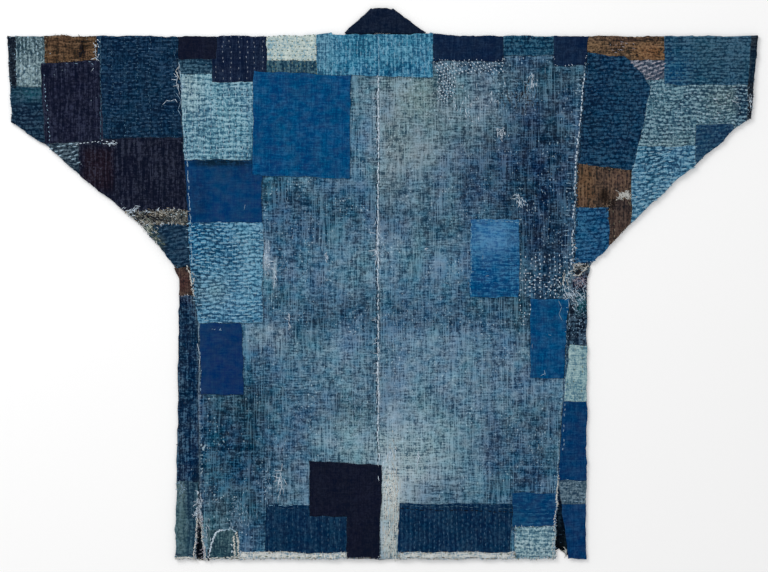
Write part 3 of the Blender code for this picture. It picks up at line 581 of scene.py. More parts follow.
# Stitches in rows over part of a panel: its middle, its half sizes, and the columns of Rows.
Area = namedtuple("Area", "across down width height rows")
AREAS = table(
    Area,
    (285, 412, 62, 58, ("back_right", 90, 8, 3, 4.4, 1.9, "white", 0.5, 1, 0, 0, 0.75)),
    (284, 398, 60, 18, ("back_right", 0, 5.5, 5, 4.5, 1.7, "white", 0.5, 1, 0, 0, 0.6)),
    (300, 300, 44, 52, ("back_right", 90, 10, 3, 6, 1.5, "pale", 0.5, 1, 0, 0, 0.4)),
    (142, 46, 56, 13, ("back_right", 45, 5.2, 3.3, 2.2, 2.3, "white", 0.5, 0.8, 0, 0, 0.85)),
    (103, 76, 15, 32, ("back_right", 45, 5.2, 3.4, 2.1, 2.6, "white", 0.5, 0.6, 0, 0, 0.95)),
    (142, 46, 56, 13, ("back_right", 45, 5.2, 3.3, 2.2, 2, "night", 0, 0.8, 0, 0, 0.6)),
    (103, 76, 15, 32, ("back_right", 45, 5.2, 3.4, 2.1, 2.2, "night", 0, 0.6, 0, 0, 0.7)),
    (-330, 640, 12, 80, ("front_left", 0, 13, 4, 14, 1.4, "dusk", 0.5, 1.4, 0, 0, 0.5)),
    (322, 445, 26, 60, ("front_right", 90, 7.4, 3, 4.6, 1.7, "pale", 0.5, 1.2, 0, 0, 0.6)),
    (13, 782, 12, 68, ("back_right", 90, 3.4, 11, 1.5, 2.2, "cream", 0.5, 1, 0, 0, 0.7)),
    (10, 700, 12, 30, ("back_right", 90, 3.4, 9, 4, 1.9, "white", 0.5, 1, 0, 0, 0.45)),
    (300, 700, 30, 90, ("back_right", 90, 9, 5, 7, 1.5, "pale", 0.5, 1.2, 0, 0, 0.4)),
)

# Lines of stitches through given places: "pitch" along the line, and "lean" away from its run.
Seam = namedtuple("Seam", "places thread pitch length width lean cover")
SEAMS = table(
    Seam,
    # The centre back seam and its fold.
    (((-6, 66), (-8, 260), (-7, 690)), "white", 6, 7.4, 2.3, 3, 0.9),
    (((-8, 0), (-6, 66)), "frost", 6, 6.6, 1.8, 0, 0.9),
    (((-13, 80), (-14, 330), (-12, 690)), "pale", 9.5, 5, 1.4, 14, 0.45),
    # A dark thread chain beside the seam, as its painted shadow.
    (((-9.5, 84), (-11, 300), (-9, 690)), "night", 7, 6.6, 2.2, 0, 0.9),
    (((4, 700), (1, 852)), "white", 9, 5, 1.6, 8, 0.5),
    (((-156, 232), (-157, 330)), "pale", 7, 6, 1, 2, 0.5),
    (((-49, 420), (-48, 660)), "pale", 8, 6, 1, 2, 0.4),
    # The left armhole and side.
    (((-331, 40), (-318, 210), (-310, 376)), "haze", 5.4, 6, 1.3, 4, 0.8),
    (((-325, 150), (-312, 300), (-305, 400)), "pale", 9, 4.6, 1.4, 10, 0.5),
    # A dark thread chain beside the armhole seam, as its painted shadow.
    (((-336, 20), (-322, 210), (-314, 376)), "night", 6.6, 6.2, 2.4, 0, 0.9),
    (((-305, 400), (-297, 520), (-294, 700)), "pale", 10, 5, 1.4, 6, 0.5),
    (((-300, 740), (-298, 786)), "white", 3.2, 4.4, 2.4, 40, 0.9),
    (((-302, 784), (-304, 815), (-308, 850)), "cream", 2.8, 4.4, 2.4, 30, 0.9),
    (((-297, 784), (-294, 815), (-288, 850)), "cream", 2.8, 4.4, 2.6, 34, 0.9),
    (((-285, 836), (-283, 850)), "ink", 3, 6, 3.4, 10, 1),
    (((-337, 848), (-308, 849)), "cream", 3, 5.6, 3.6, 10, 1),
    (((-337, 843), (-308, 844)), "slate", 4, 5.6, 2.4, 10, 0.5),
    (((-288, 849), (-234, 848)), "cream", 3.4, 5.6, 2.6, 10, 0.9),
    (((-319, 374), (-313, 396), (-306, 422)), "cream", 3.2, 5, 2.2, 10, 0.9),
    (((-338, 421), (-308, 421)), "rose", 5, 3.2, 1.9, 12, 0.9),
    # The right armhole and side.
    (((311, 388), (321, 388), (335, 372)), "cream", 3, 5, 2.8, 16, 0.9),
    (((311, 450), (311, 500)), "steel", 5, 3.4, 1.5, 0, 0.9),
    (((329, 60), (314, 209), (306, 372)), "white", 5.8, 5.2, 2.6, 6, 0.85),
    (((331, 40), (317, 209), (309, 372)), "pale", 7, 4, 1.6, 20, 0.6),
    # A dark thread chain beside the armhole seam, as its painted shadow.
    (((334, 40), (319, 209), (311, 372)), "night", 6.6, 6.2, 2.2, 0, 0.9),
    (((321, 66), (305, 209), (297, 372)), "pale", 8.5, 12, 1.6, 85, 0.55),
    (((302, 420), (297, 540), (294, 690)), "pale", 8, 5, 1.6, 8, 0.6),
    (((287, 655), (284, 722)), "pale", 7, 5, 2, 16, 0.7),
    (((284, 722), (283, 762)), "cream", 3.6, 5.6, 3, 12, 1),
    (((283, 762), (280, 790), (275, 850)), "cream", 5, 5, 2, 16, 0.8),
    # The left sleeve.
    (((-460, 2), (-459, 90), (-459, 174)), "steel", 5.4, 5.2, 1.4, 0, 0.95),
    (((-463, 2), (-463, 40)), "white", 6, 4, 1.8, 40, 0.7),
    (((-552, 60), (-541, 176)), "pale", 7, 3.4, 1.7, 30, 0.75),
    (((-598, 30), (-597, 79)), "slate", 7, 4, 1.8, 0, 0.8),
    (((-500, 176), (-466, 170), (-434, 168)), "white", 6, 4.4, 1.8, 12, 0.8),
    (((-540, 181), (-494, 177)), "ink", 6, 4.4, 1.8, 0, 0.8),
    # The mend by the left slit.
    (((-284, 848), (-277, 822), (-272, 808), (-262, 803)), "white", 3, 5.4, 3.4, 24, 1),
    (((-262, 803), (-247, 802), (-240, 806)), "haze", 3, 4.6, 2.8, 10, 1),
    (((-240, 806), (-236, 822), (-236, 848)), "cream", 3, 5.4, 3.2, 50, 1),
    (((-243, 812), (-242, 848)), "cream", 3, 5, 3.4, 40, 1),
    (((-246, 826), (-246, 848)), "white", 5, 5, 2.4, 30, 0.9),
    # The folded tops of the two sashiko patches at the hem.
    (((-186, 763), (-124, 762)), "frost", 8, 7.4, 1.3, 0, 0.9),
    (((-182, 768), (-138, 768)), "denim", 8, 7, 1.2, 0, 0.8),
    (((28, 763), (120, 765), (208, 768)), "steel", 8, 7.6, 1.1, 0, 0.8),
    (((28, 768), (208, 774)), "ink", 8, 7.6, 1.8, 0, 0.9),
    # Edges that catch the light.
    (((-200, 302), (-196, 460)), "frost", 6.4, 2.8, 2, 0, 0.9),
    (((143, 302), (144, 420)), "frost", 7, 6, 1.4, 0, 0.9),
    (((150, 299), (218, 302)), "frost", 8, 6.6, 1.3, 0, 0.8),
    (((-232, 846), (-60, 847)), "sage", 9, 6, 2, 4, 0.6),
    (((30, 848), (210, 848)), "umber", 8, 7, 1.8, 3, 0.35),
    (((30, 842), (210, 842)), "sage", 12, 6, 1.8, 8, 0.5),
)

# Each thread's colour, sRGB from 0 to 255, and the name its meshes are grouped under.
Thread = namedtuple("Thread", "colour slot")
THREADS = {
    "white": Thread((206, 222, 236), "cream"),
    "cream": Thread((206, 208, 204), "cream"),
    "rose": Thread((176, 172, 184), "cream"),
    "pale": Thread((140, 172, 196), "cream"),
    "haze": Thread((168, 198, 216), "cream"),
    "mist": Thread((150, 188, 208), "cream"),
    "frost": Thread((124, 170, 196), "sky"),
    "azure": Thread((52, 108, 152), "mid_blue"),
    "pewter": Thread((126, 136, 152), "cream"),
    "steel": Thread((76, 112, 134), "faded_indigo"),
    "denim": Thread((66, 96, 124), "faded_indigo"),
    "slate": Thread((44, 66, 88), "navy"),
    "teal": Thread((52, 88, 108), "navy"),
    "lake": Thread((60, 96, 112), "navy"),
    "sage": Thread((118, 132, 118), "cream"),
    "night": Thread((24, 44, 64), "navy"),
    "dusk": Thread((52, 58, 78), "near_black"),
    "ink": Thread((14, 20, 34), "near_black"),
    "umber": Thread((42, 32, 28), "brown"),
    "tan": Thread((144, 134, 116), "brown"),
    "bronze": Thread((120, 98, 76), "brown"),
}

# Bare threads where the cloth has worn or torn: "count" short threads over an area given by its
# middle and half sizes, mostly turned one way.
Worn = namedtuple("Worn", "across down width height count length thread turn")
WORN = table(
    Worn,
    (243, 72, 7, 13, 24, 8, "white", 90),
    (194, 155, 8, 11, 30, 7, "white", 90),
    (222, 266, 8, 10, 26, 8, "white", 70),
    (150, 104, 60, 30, 36, 7, "white", 90),
    (222, 96, 30, 26, 44, 10, "umber", 90),
    (226, 92, 26, 24, 22, 9, "pale", 90),
    (306, 420, 16, 18, 60, 8, "white", 60),
    (296, 392, 8, 14, 20, 7, "cream", 80),
    (316, 440, 18, 60, 70, 5, "pale", 0),
    (391, 257, 13, 6, 90, 7, "cream", 30),
    (368, 268, 12, 14, 40, 7, "umber", 60),
    (-442, 174, 13, 2, 22, 5, "white", 5),
    (-488, 20, 6, 14, 26, 8, "ink", 90),
    (-490, 42, 30, 4, 5, 4, "pale", 20),
    (-467, 20, 4, 20, 22, 6, "white", 60),
    (-333, 62, 3, 28, 12, 8, "white", 88),
    (-327, 78, 4, 12, 9, 7, "pale", 80),
    (318, 374, 12, 8, 36, 8, "cream", 20),
    (320, 382, 10, 7, 20, 7, "umber", 60),
    (57, 682, 1.5, 12, 12, 9, "white", 90),
    (-166, 722, 4, 22, 26, 13, "white", 90),
    (-186, 716, 4, 30, 16, 12, "pale", 90),
    (-9, 335, 3, 34, 26, 11, "white", 90),
    (-11, 352, 2, 10, 16, 9, "white", 80),
    (3, 345, 2, 14, 12, 9, "pale", 90),
    (-8, 140, 2, 60, 30, 9, "white", 90),
    (-8, 560, 3, 110, 50, 9, "white", 90),
    (-190, 362, 7, 22, 22, 6, "white", 80),
    (-176, 385, 2, 24, 14, 9, "white", 90),
    (-160, 372, 8, 18, 14, 6, "pale", 80),
    (-152, 462, 2, 12, 10, 8, "white", 80),
    (-92, 355, 2, 9, 8, 8, "white", 90),
    (-268, 476, 9, 2, 7, 3, "pale", 20),
    (70, 345, 2, 2, 8, 3, "white", 0),
    (-240, 334, 14, 2, 12, 4, "pale", 0),
    (-44, 606, 40, 44, 26, 10, "pale", 90),
    (16, 740, 9, 84, 90, 9, "cream", 88),
    (-384, 318, 12, 24, 70, 7, "sage", 50),
    (-388, 312, 10, 18, 30, 7, "cream", 50),
    (-380, 296, 52, 7, 60, 7, "ink", 10),
    (321, 397, 11, 10, 40, 6, "rose", 60),
    (-235, 775, 26, 30, 34, 8, "pale", 84),
    (-250, 730, 30, 50, 40, 6, "steel", 84),
    (-300, 764, 4, 20, 60, 8, "white", 80),
    (-303, 776, 8, 7, 16, 8, "white", 30),
    (-297, 780, 3, 16, 20, 8, "rose", 75),
    (-292, 838, 4, 12, 20, 7, "rose", 70),
    (-286, 800, 5, 20, 12, 6, "white", 70),
    (298, 838, 3, 8, 16, 7, "cream", 80),
    (598, 105, 3, 14, 18, 5, "white", 80),
    (-420, 286, 34, 9, 70, 8, "white", -20),
    (-362, 287, 26, 8, 40, 6, "tan", 10),
    (-360, 286, 26, 8, 34, 6, "cream", 10),
    (-380, 290, 40, 9, 150, 6, "ink", 20),
    (-392, 320, 14, 22, 50, 6, "cream", -50),
    (-372, 338, 12, 22, 40, 6, "sage", 50),
    (-374, 336, 12, 24, 26, 5, "cream", 50),
    (-392, 322, 16, 20, 24, 6, "tan", -50),
    (390, 14, 24, 12, 12, 5, "rose", 10),
    (410, 28, 34, 14, 30, 5, "ink", 10),
    (560, 110, 40, 26, 30, 5, "white", 10),
    (-308, 396, 2, 20, 8, 6, "cream", 75),
    (-328, 735, 7, 14, 26, 5, "pale", 80),
    (-150, 360, 90, 80, 40, 9, "pale", 90),
    (60, 480, 150, 100, 60, 9, "pale", 90),
    (200, 600, 90, 90, 50, 8, "pale", 90),
)

# Short bare threads out of the edges of pieces that lie within a box.
Fray = namedtuple("Fray", "pieces left right top bottom spacing length threads")
HEM_THREADS = ("cream", "white", "cream", "pale", "tan")
FRAYS = table(
    Fray,
    ("back_left back_right", -350, 350, 845, 880, 1.2, 3.4, HEM_THREADS),
    ("front_left", -350, -290, 845, 880, 1.2, 3, HEM_THREADS),
    ("hem_binding_left hem_binding_right", -350, 350, 830, 880, 1, 3.6, HEM_THREADS),
    ("back_left side_left_teal", -305, -284, 780, 880, 0.7, 4, ("cream", "white", "rose")),
    ("back_right", 274, 292, 700, 852, 0.9, 3.4, ("white", "pale", "cream")),
    ("cuff_band_left sleeve_left_cuff_navy", -640, -596, -5, 270, 3, 4, ("slate", "pale", "ink")),
    ("cuff_band_right", 588, 640, 70, 200, 1, 4, ("ink", "ink", "slate", "pale", "umber")),
    ("sleeve_left_frayed_band", -460, -290, 250, 330, 1.2, 5.5, ("white", "ink", "cream", "ink", "tan")),
    ("sleeve_left_brown", -560, -455, -5, 70, 4, 4, ("tan", "umber")),
    ("sleeve_right_tobacco sleeve_right_dark_brown", 290, 440, 190, 350, 3, 4, ("umber", "tan")),
    ("side_left_brown", -318, -290, 360, 425, 1.6, 5, ("cream", "umber")),
    ("hem_right_pale", 205, 300, 790, 880, 2.4, 5, ("white", "pale", "sage")),
    ("hem_black", -130, 0, 680, 880, 5, 3, ("ink", "night", "ink")),
    ("shoulder_cream", -195, -85, -10, 45, 5, 3, ("cream", "tan")),
    ("shoulder_right_black shoulder_right_dark", 70, 350, 30, 60, 4, 3, ("white", "ink")),
    ("sleeve_right_underarm_blue", 288, 340, 330, 400, 2, 6, ("cream", "umber", "white")),
)

# Single loose threads through given places.
Loose = namedtuple("Loose", "places thread width")
LOOSE = table(
    Loose,
    (((-358, 111), (-352, 104), (-345, 105), (-338, 102), (-334, 107)), "white", 1),
    (((385, 322), (382, 327), (384, 331), (379, 334)), "bronze", 1.6),
    (((-340, 60), (-334, 66), (-336, 78), (-331, 90)), "white", 1.1),
    (((-331, 48), (-337, 56), (-330, 70)), "cream", 1.3),
    (((-336, 92), (-328, 104), (-333, 120), (-327, 131)), "pale", 1.3),
    (((332, 404), (326, 410), (329, 420), (321, 428)), "white", 1.4),
    (((286, 430), (291, 440), (287, 452), (292, 462)), "pale", 1.3),
    (((-200, 480), (-196, 500), (-199, 520)), "pale", 1.1),
    (((-302, 500), (-297, 520), (-300, 545)), "white", 1.2),
)


def row_frame(rows):
    """The unit vectors along and across the rows, over (across, down)."""
    turn = math.radians(rows.run)
    return (math.cos(turn), math.sin(turn)), (-math.sin(turn), math.cos(turn))


ROW_WOBBLE = waves(31, 60)


def row_place(rows, across, down):
    """Where a place lies, counted in stitches along its row and in rows."""
    along, over = row_frame(rows)
    u = (across * along[0] + down * along[1]) / (rows.stitch + rows.gap)
    v = across * over[0] + down * over[1] + rows.wobble * ROW_WOBBLE(across, down)
    return u, v / rows.pitch


def main_rows(piece):
    """The rows that shape a piece, or None."""
    return next((rows for rows in ROWS if rows.piece == piece and rows.mark), None)


# ---------------------------------------------------------------- meshes of cloth

def node_mesh(node):
    """The CAD node's welded points in millimetres, its triangles, and which of them look up."""
    mesh = bmesh.new()
    mesh.from_mesh(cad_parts[node].data)
    bmesh.ops.remove_doubles(mesh, verts=mesh.verts, dist=WELD)
    bmesh.ops.triangulate(mesh, faces=mesh.faces)
    mesh.normal_update()
    points = np.array([vert.co for vert in mesh.verts]) / MM
    triangles = np.array([[vert.index for vert in face.verts] for face in mesh.faces])
    above = np.array([face.normal.z > FACING_UP for face in mesh.faces])
    mesh.free()
    return points, triangles, above


def cell_of(node):
    """How fine the upper side of a piece is."""
    if node in HIDDEN_PANELS:
        return HIDDEN_CELL
    if node in PANELS:
        return PANEL_CELL
    return STITCHED_CELL if main_rows(node) else PATCH_CELL


def turned(corners, middles, first):
    """Each triangle's corners and edge middles, counted from its corner number "first"."""
    order = (first[:, None] + np.arange(3)) % 3
    return np.take_along_axis(corners, order, 1).T, np.take_along_axis(middles, order, 1).T


def refine(points, triangles, above, finest, coarsest):
    """Halves long edges until the upper side's cells and the other cells are small enough."""
    while True:
        ends = np.sort(triangles[:, [[0, 1], [1, 2], [2, 0]]], axis=2).reshape(-1, 2)
        edges, index = np.unique(ends, axis=0, return_inverse=True)
        index = index.reshape(-1, 3)
        limit = np.full(len(edges), coarsest)
        limit[index[above].ravel()] = finest
        long = np.linalg.norm(points[edges[:, 0]] - points[edges[:, 1]], axis=1) > limit
        if not long.any():
            return points, triangles, above
        number = np.cumsum(long) - 1 + len(points)
        points = np.concatenate([points, points[edges[long]].mean(axis=1)])
        marks, middles = long[index], number[index]
        count = marks.sum(axis=1)
        made = [(triangles[count == 0].T, above[count == 0])]
        one = count == 1
        (a, b, c), (m, _, _) = turned(triangles[one], middles[one], marks[one].argmax(axis=1))
        made += [(part, above[one]) for part in ((a, m, c), (m, b, c))]
        two = count == 2
        after_bare = ((~marks[two]).argmax(axis=1) + 1) % 3
        (a, b, c), (m, n, _) = turned(triangles[two], middles[two], after_bare)
        crossing = np.linalg.norm(points[a] - points[n], axis=1)
        straight = crossing < np.linalg.norm(points[m] - points[c], axis=1)
        last, first = np.where(straight, n, c), np.where(straight, a, m)
        made += [(part, above[two]) for part in ((m, b, n), (a, m, last), (first, n, c))]
        three = count == 3
        (a, b, c), (m, n, o) = triangles[three].T, middles[three].T
        made += [(part, above[three]) for part in ((a, m, o), (m, b, n), (o, n, c), (m, n, o))]
        triangles = np.concatenate([np.stack(list(part), axis=1) for part, _ in made])
        above = np.concatenate([flags for _, flags in made])


def share_of(fade_and_shade, across, down):
    """How strongly an area acts at each place."""
    aside = np.abs(across - fade_and_shade.across) / fade_and_shade.width
    below = np.abs(down - fade_and_shade.down) / fade_and_shade.height
    return fade_and_shade.amount * np.exp(-(aside**fade_and_shade.edge) - below**fade_and_shade.edge)


def dye_of(node, look, across, down):
    """The linear colour of the cloth at each place, with its painted shadows, and how much light reaches
    it, as painted shade.
    """
    colour = np.tile(linear(look.body), (len(across), 1))
    light = np.ones(len(across))
    rows = [row for names, rows in FADES_AND_SHADES.items() if node in names.split() for row in rows]
    for fade_and_shade in table(Fade, *rows):
        share = share_of(fade_and_shade, across, down)
        # Painted shade: a dark inside seen through a slit or hole.
        if fade_and_shade.colour is None:
            light *= 1 - share
        else:
            colour += (linear(fade_and_shade.colour) - colour) * share[:, None]
    return colour, light


def quilted(node, across, down):
    """Each place in stitches and rows with how plainly it shows, and how high the cloth puffs."""
    rows = main_rows(node)
    if rows is None:
        return np.zeros((len(across), 3)), 0.0
    u, v = row_place(rows, across, down)
    puff = rows.puff * (0.5 - 0.5 * np.cos(2 * math.pi * v))
    return np.stack([u, v, np.full(len(u), rows.mark)], axis=1), puff


def one_layer(node):
    """The area of one side of the CAD solid, in square metres."""
    return sum(face.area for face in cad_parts[node].data.polygons) / 2


def add_mesh(name, points, faces, colours, material, light=1):
    """A smooth mesh object with a colour at each point, and how much light reaches it."""
    data = bpy.data.meshes.new(name)
    data.from_pydata(points.tolist(), [], faces)
    data.shade_smooth()
    data.materials.append(material)
    attribute = data.color_attributes.new("dye_and_shade", "FLOAT_COLOR", "POINT")
    values = np.ones((len(points), 4), np.float32)
    values[:, :3] = colours
    values[:, 3] = light
    attribute.data.foreach_set("color", values.ravel())
    piece = bpy.data.objects.new(name, data)
    bpy.context.scene.collection.objects.link(piece)
    return piece


def rims(triangles):
    """The outlines of a set of triangles, as closed loops of point numbers."""
    edges = triangles[:, [[0, 1], [1, 2], [2, 0]]].reshape(-1, 2)
    both_ways = {(int(a), int(b)) for a, b in edges}
    following = {a: b for a, b in both_ways if (b, a) not in both_ways}
    loops = []
    while following:
        start = next(iter(sorted(following)))
        loop = [start]
        while loop[-1] in following:
            loop.append(following.pop(loop[-1]))
        loops.append(loop)
    return loops


def cloth_piece(node, material, look):
    """The fine cloth that stands for one CAD node, and the outlines of its upper side."""
    points, triangles, above = refine(*node_mesh(node), cell_of(node), HIDDEN_CELL)
    on_top = np.zeros(len(points), bool)
    on_top[triangles[above].ravel()] = True
    across, down = points[:, 0], SHOULDER_Y - points[:, 1]
    new_across, new_down, level = settle(across, down, points[:, 2])
    new_down = new_down - drawn_up(node, across, down)
    sewn, puff = quilted(node, across, down)
    level = level + on_top * puff
    colour, light = dye_of(node, look, across, down)
    loops = rims(triangles[above])
    edge = np.array(sorted({index for loop in loops for index in loop}))
    colour[edge] += EDGE_WEAR * (linear(look.pale) - colour[edge])
    moved = np.stack([new_across, SHOULDER_Y - new_down, level], axis=1) * MM
    piece = add_mesh(node + "_cloth", moved, triangles.tolist(), colour, material, light)
    attribute = piece.data.attributes.new("sewn", "FLOAT_VECTOR", "POINT")
    attribute.data.foreach_set("vector", sewn.astype(np.float32).ravel())
    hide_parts(node)
    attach(piece, "root")
    outlines = [np.stack([new_across[loop], new_down[loop]], axis=1) for loop in loops]
    return piece, outlines


# ---------------------------------------------------------------- materials

# The noises of one look lie this far from those of the next, and are this deep, in millimetres.
NOISE_STEP = 3.1
NOISE_DEPTH = 6.0

# Between these heights of its weave the cloth turns from dark to its dye, and from that to faded.
DARK_TO_DYED = (0.31, 0.51)
DYED_TO_FADED = (0.49, 0.73)
BARE_WHITE = (182, 208, 222)

# The marks that threads leave: their size across and down, in millimetres, how ragged they are,
# their weight, and which of the look's own weights goes with it.
Weave = namedtuple("Weave", "across down detail weight kind")
WEAVES = table(
    Weave,
    (2.2, 30, 2, 1, "warp"),
    (15, 2.3, 2, 1, "weft"),
    (2.4, 2.9, 1, 1, "grain"),
    (6, 8, 2, 0.8, "grain"),
    (7, 150, 1, 0.36, "warp"),
    (120, 8, 1, 0.3, "weft"),
)
CONTRAST = 1.3

# More noises, with the same first three columns and their strength: clouds in the cloth, and how
# far stitches stray along and across their rows.
CLOUDS = (50, 60, 3, 0.36)
STRAYING_ALONG = (9, 12, 1, 1.6)
STRAYING_ACROSS = (16, 8, 1, 0.7)

# How high rows stand, how high stitches stand in them, and where the quilting is worn flat.
ROW_HEIGHT = 0.29
STITCH_HEIGHT = 0.23
WORN_FLAT = 0.32

# What is left of red, green and blue in the darkest threads, and how much bare white shows.
DARKENED = (0.66, 0.95, 1.22)
BARENESS = 0.55


class Nodes:
    """A new material and its shader nodes.  Its noises all start at the same offset."""

    def __init__(self, name, offset=0.0):
        self.material = bpy.data.materials.new(name)
        self.material.use_nodes = True
        self.tree = self.material.node_tree
        self.shader = self.tree.nodes["Principled BSDF"]
        self.offset = offset

    def feed(self, node, inputs):
        """Links a socket to each input, or sets it to a plain number or colour."""
        for name, value in inputs.items():
            if isinstance(value, bpy.types.NodeSocket):
                self.tree.links.new(value, node.inputs[name])
            else:
                node.inputs[name].default_value = value

    def add(self, kind, inputs, **settings):
        """The outputs of a new node."""
        node = self.tree.nodes.new("ShaderNode" + kind)
        for name, value in settings.items():
            setattr(node, name, value)
        self.feed(node, inputs)
        return node.outputs

    def math(self, operation, first, second=0.0, clamp=False):
        return self.add("Math", {0: first, 1: second}, operation=operation, use_clamp=clamp)[0]

    def plus(self, first, second):
        return self.math("ADD", first, second)

    def minus(self, first, second):
        return self.math("SUBTRACT", first, second)

    def times(self, first, second, clamp=False):
        return self.math("MULTIPLY", first, second, clamp)

    def mix(self, share, first, second, kind="MIX"):
        inputs = {"Factor": share, "A": first, "B": second}
        return self.add("Mix", inputs, data_type="RGBA", blend_type=kind)["Result"]

    def noise(self, across, down, detail=2.0):
        """Noise whose marks are about this many millimetres across and down."""
        places = self.add("TexCoord", {})["Object"]
        scale = [1 / (size * MM) for size in (across, down, NOISE_DEPTH)]
        start = (self.offset, 1.7 * self.offset, 0)
        vector = self.add("Mapping", {"Vector": places, "Scale": scale, "Location": start})["Vector"]
        inputs = {"Vector": vector, "Scale": 1, "Detail": detail}
        return self.add("TexNoise", inputs, noise_dimensions="3D")["Fac"]

    def stray(self, across, down, detail, amount):
        """Noise around 0."""
        return self.times(self.minus(self.noise(across, down, detail), 0.5), amount)

    def ramp(self, value, low, high, least=0, most=1, kind="LINEAR"):
        """Goes from "least" to "most" as the value goes from "low" to "high"."""
        inputs = {"Value": value, "From Min": low, "From Max": high, "To Min": least, "To Max": most}
        return self.add("MapRange", inputs, interpolation_type=kind)["Result"]

    def step(self, value, low, high):
        """Goes smoothly from 0 to 1."""
        return self.ramp(value, low, high, kind="SMOOTHSTEP")

    def wave(self, turns, height):
        """A wave of this height that is highest at whole turns."""
        return self.times(self.math("COSINE", self.times(turns, 2 * math.pi)), height)


def quilting(nodes, brick):
    """Where the stitches lie, from about 0.5 on them to -0.5 between, and how plainly they show."""
    sewn = nodes.add("Attribute", {}, attribute_name="sewn")["Vector"]
    u, v, mark = nodes.add("SeparateXYZ", {"Vector": sewn})
    row = nodes.math("FLOOR", nodes.plus(v, 0.5))
    u = nodes.plus(nodes.plus(u, nodes.times(row, brick)), nodes.stray(*STRAYING_ALONG))
    v = nodes.plus(v, nodes.stray(*STRAYING_ACROSS))
    return nodes.plus(nodes.wave(v, ROW_HEIGHT), nodes.wave(u, STITCH_HEIGHT)), mark


def weaving(nodes, look):
    """The height of the uneven threads, around 0.5."""
    weights = [weave.weight * getattr(look, weave.kind) for weave in WEAVES]
    spread = math.sqrt(sum(weight**2 for weight in weights)) / CONTRAST
    height = 0.5
    for weave, weight in zip(WEAVES, weights):
        part = nodes.stray(weave.across, weave.down, weave.detail, weight / spread)
        height = nodes.plus(part, height)
    return nodes.plus(height, nodes.stray(*CLOUDS))


def cloth_material(look, brick, offset):
    """Handwoven cotton: uneven threads both ways, cloudy dye, bare specks and quilting.

    The quilting's darker and paler bands are partly wear and partly painted shade, and the alpha
    of the colour layer paints the shade of insides seen through slits and holes.
    """
    nodes = Nodes(look.pieces.split()[0], offset)
    dye_and_shade_layer = nodes.add("VertexColor", {}, layer_name="dye_and_shade")
    dye_and_shade = dye_and_shade_layer["Color"]
    # The quilting sets the colour as well as the bump: its darker and paler bands along the rows are
    # partly painted shade and partly wear.
    sewn, mark = quilting(nodes, brick)
    uneven = nodes.times(nodes.minus(nodes.noise(14, 11), WORN_FLAT), 2.1, clamp=True)
    lift = nodes.times(nodes.times(sewn, mark), uneven)
    height = nodes.plus(weaving(nodes, look), lift)
    deep = (*(share * look.dark for share in DARKENED), 1)
    low = nodes.mix(1, dye_and_shade, deep, "MULTIPLY")
    shade = nodes.mix(nodes.step(height, *DARK_TO_DYED), low, dye_and_shade)
    root = nodes.add("Gamma", {"Color": dye_and_shade, "Gamma": look.hold})["Color"]
    pale = (*linear(look.pale) ** (1 - look.hold), 1)
    faded = nodes.mix(1, root, pale, "MULTIPLY")
    shade = nodes.mix(nodes.step(height, *DYED_TO_FADED), shade, faded)
    if look.streak:
        run = nodes.plus(nodes.noise(1.8, 55, 1), nodes.times(nodes.noise(26, 60), 0.6))
        shade = nodes.mix(nodes.times(nodes.step(run, 0.85, 1), look.streak), shade, faded)
    if look.speck:
        bare = nodes.plus(nodes.noise(2.6, 3.8, 0), nodes.times(nodes.noise(34, 46), 0.45))
        bare = nodes.times(nodes.step(bare, 1.10 - look.speck, 1.20 - look.speck), BARENESS)
        shade = nodes.mix(bare, shade, (*linear(BARE_WHITE), 1))
    # Painted shade: the layer's alpha darkens insides seen through slits and holes.
    shade = nodes.mix(1, shade, dye_and_shade_layer["Alpha"], "MULTIPLY")
    rich = nodes.ramp(nodes.noise(16, 12, 1), 0.3, 0.7, 1 - look.tint, 1 + look.tint)
    hue = nodes.ramp(nodes.noise(40, 60), 0.3, 0.7, 0.5 - 0.1 * look.tint, 0.5 + 0.1 * look.tint)
    shade = nodes.add("HueSaturation", {"Color": shade, "Saturation": rich, "Hue": hue})["Color"]
    bump = nodes.add("Bump", {"Strength": 0.6, "Distance": 0.0008, "Height": height})["Normal"]
    nodes.feed(nodes.shader, {
        "Base Color": shade,
        "Roughness": nodes.ramp(height, 0, 1, 0.84, 0.98),
        "Specular IOR Level": 0.02,
        "Sheen Weight": 0.01,
        "Normal": bump,
    })
    return nodes.material


def thread_material():
    """Cotton thread in its own dye, with a slight twist."""
    nodes = Nodes("thread")
    dye_and_shade = nodes.add("VertexColor", {}, layer_name="dye_and_shade")["Color"]
    low = nodes.mix(1, dye_and_shade, (0.6, 0.6, 0.6, 1), "MULTIPLY")
    shade = nodes.mix(nodes.step(nodes.noise(1, 1), 0.3, 0.55), low, dye_and_shade)
    nodes.feed(nodes.shader, {"Base Color": shade, "Roughness": 0.85, "Specular IOR Level": 0.1})
    return nodes.material


# ---------------------------------------------------------------- sewing

def numbers(collection, name, width):
    """A field of a mesh's points or faces, as rows of numbers."""
    values = np.zeros(len(collection) * width, np.float32)
    collection.foreach_get(name, values)
    return values.reshape(-1, width).astype(float)


# In millimetres: where the search for the cloth starts, how far a stitch's end may lie above or
# below its middle, and how high fibres lie over the cloth and over the floor.
SEARCH_HEIGHT = 60
END_DROP = 1.3
FIBRE_RISE = 0.25
FLOOR_RISE = 0.4

# How unequal threads are: the least and most of their shade, and of a stitch's length and width.
SHADES = (0.78, 1.12)
STITCH_LENGTHS = (0.8, 1.2)
STITCH_WIDTHS = (0.85, 1.15)

# How far stitches stray: their turn in degrees, their place in a row as a share of a stitch, the
# row as a share of the pitch, and a seam's stitches in millimetres.
STITCH_TURN = 4
STRAY_ALONG = 0.07
STRAY_OVER = 0.04
SEAM_STRAY = 0.35

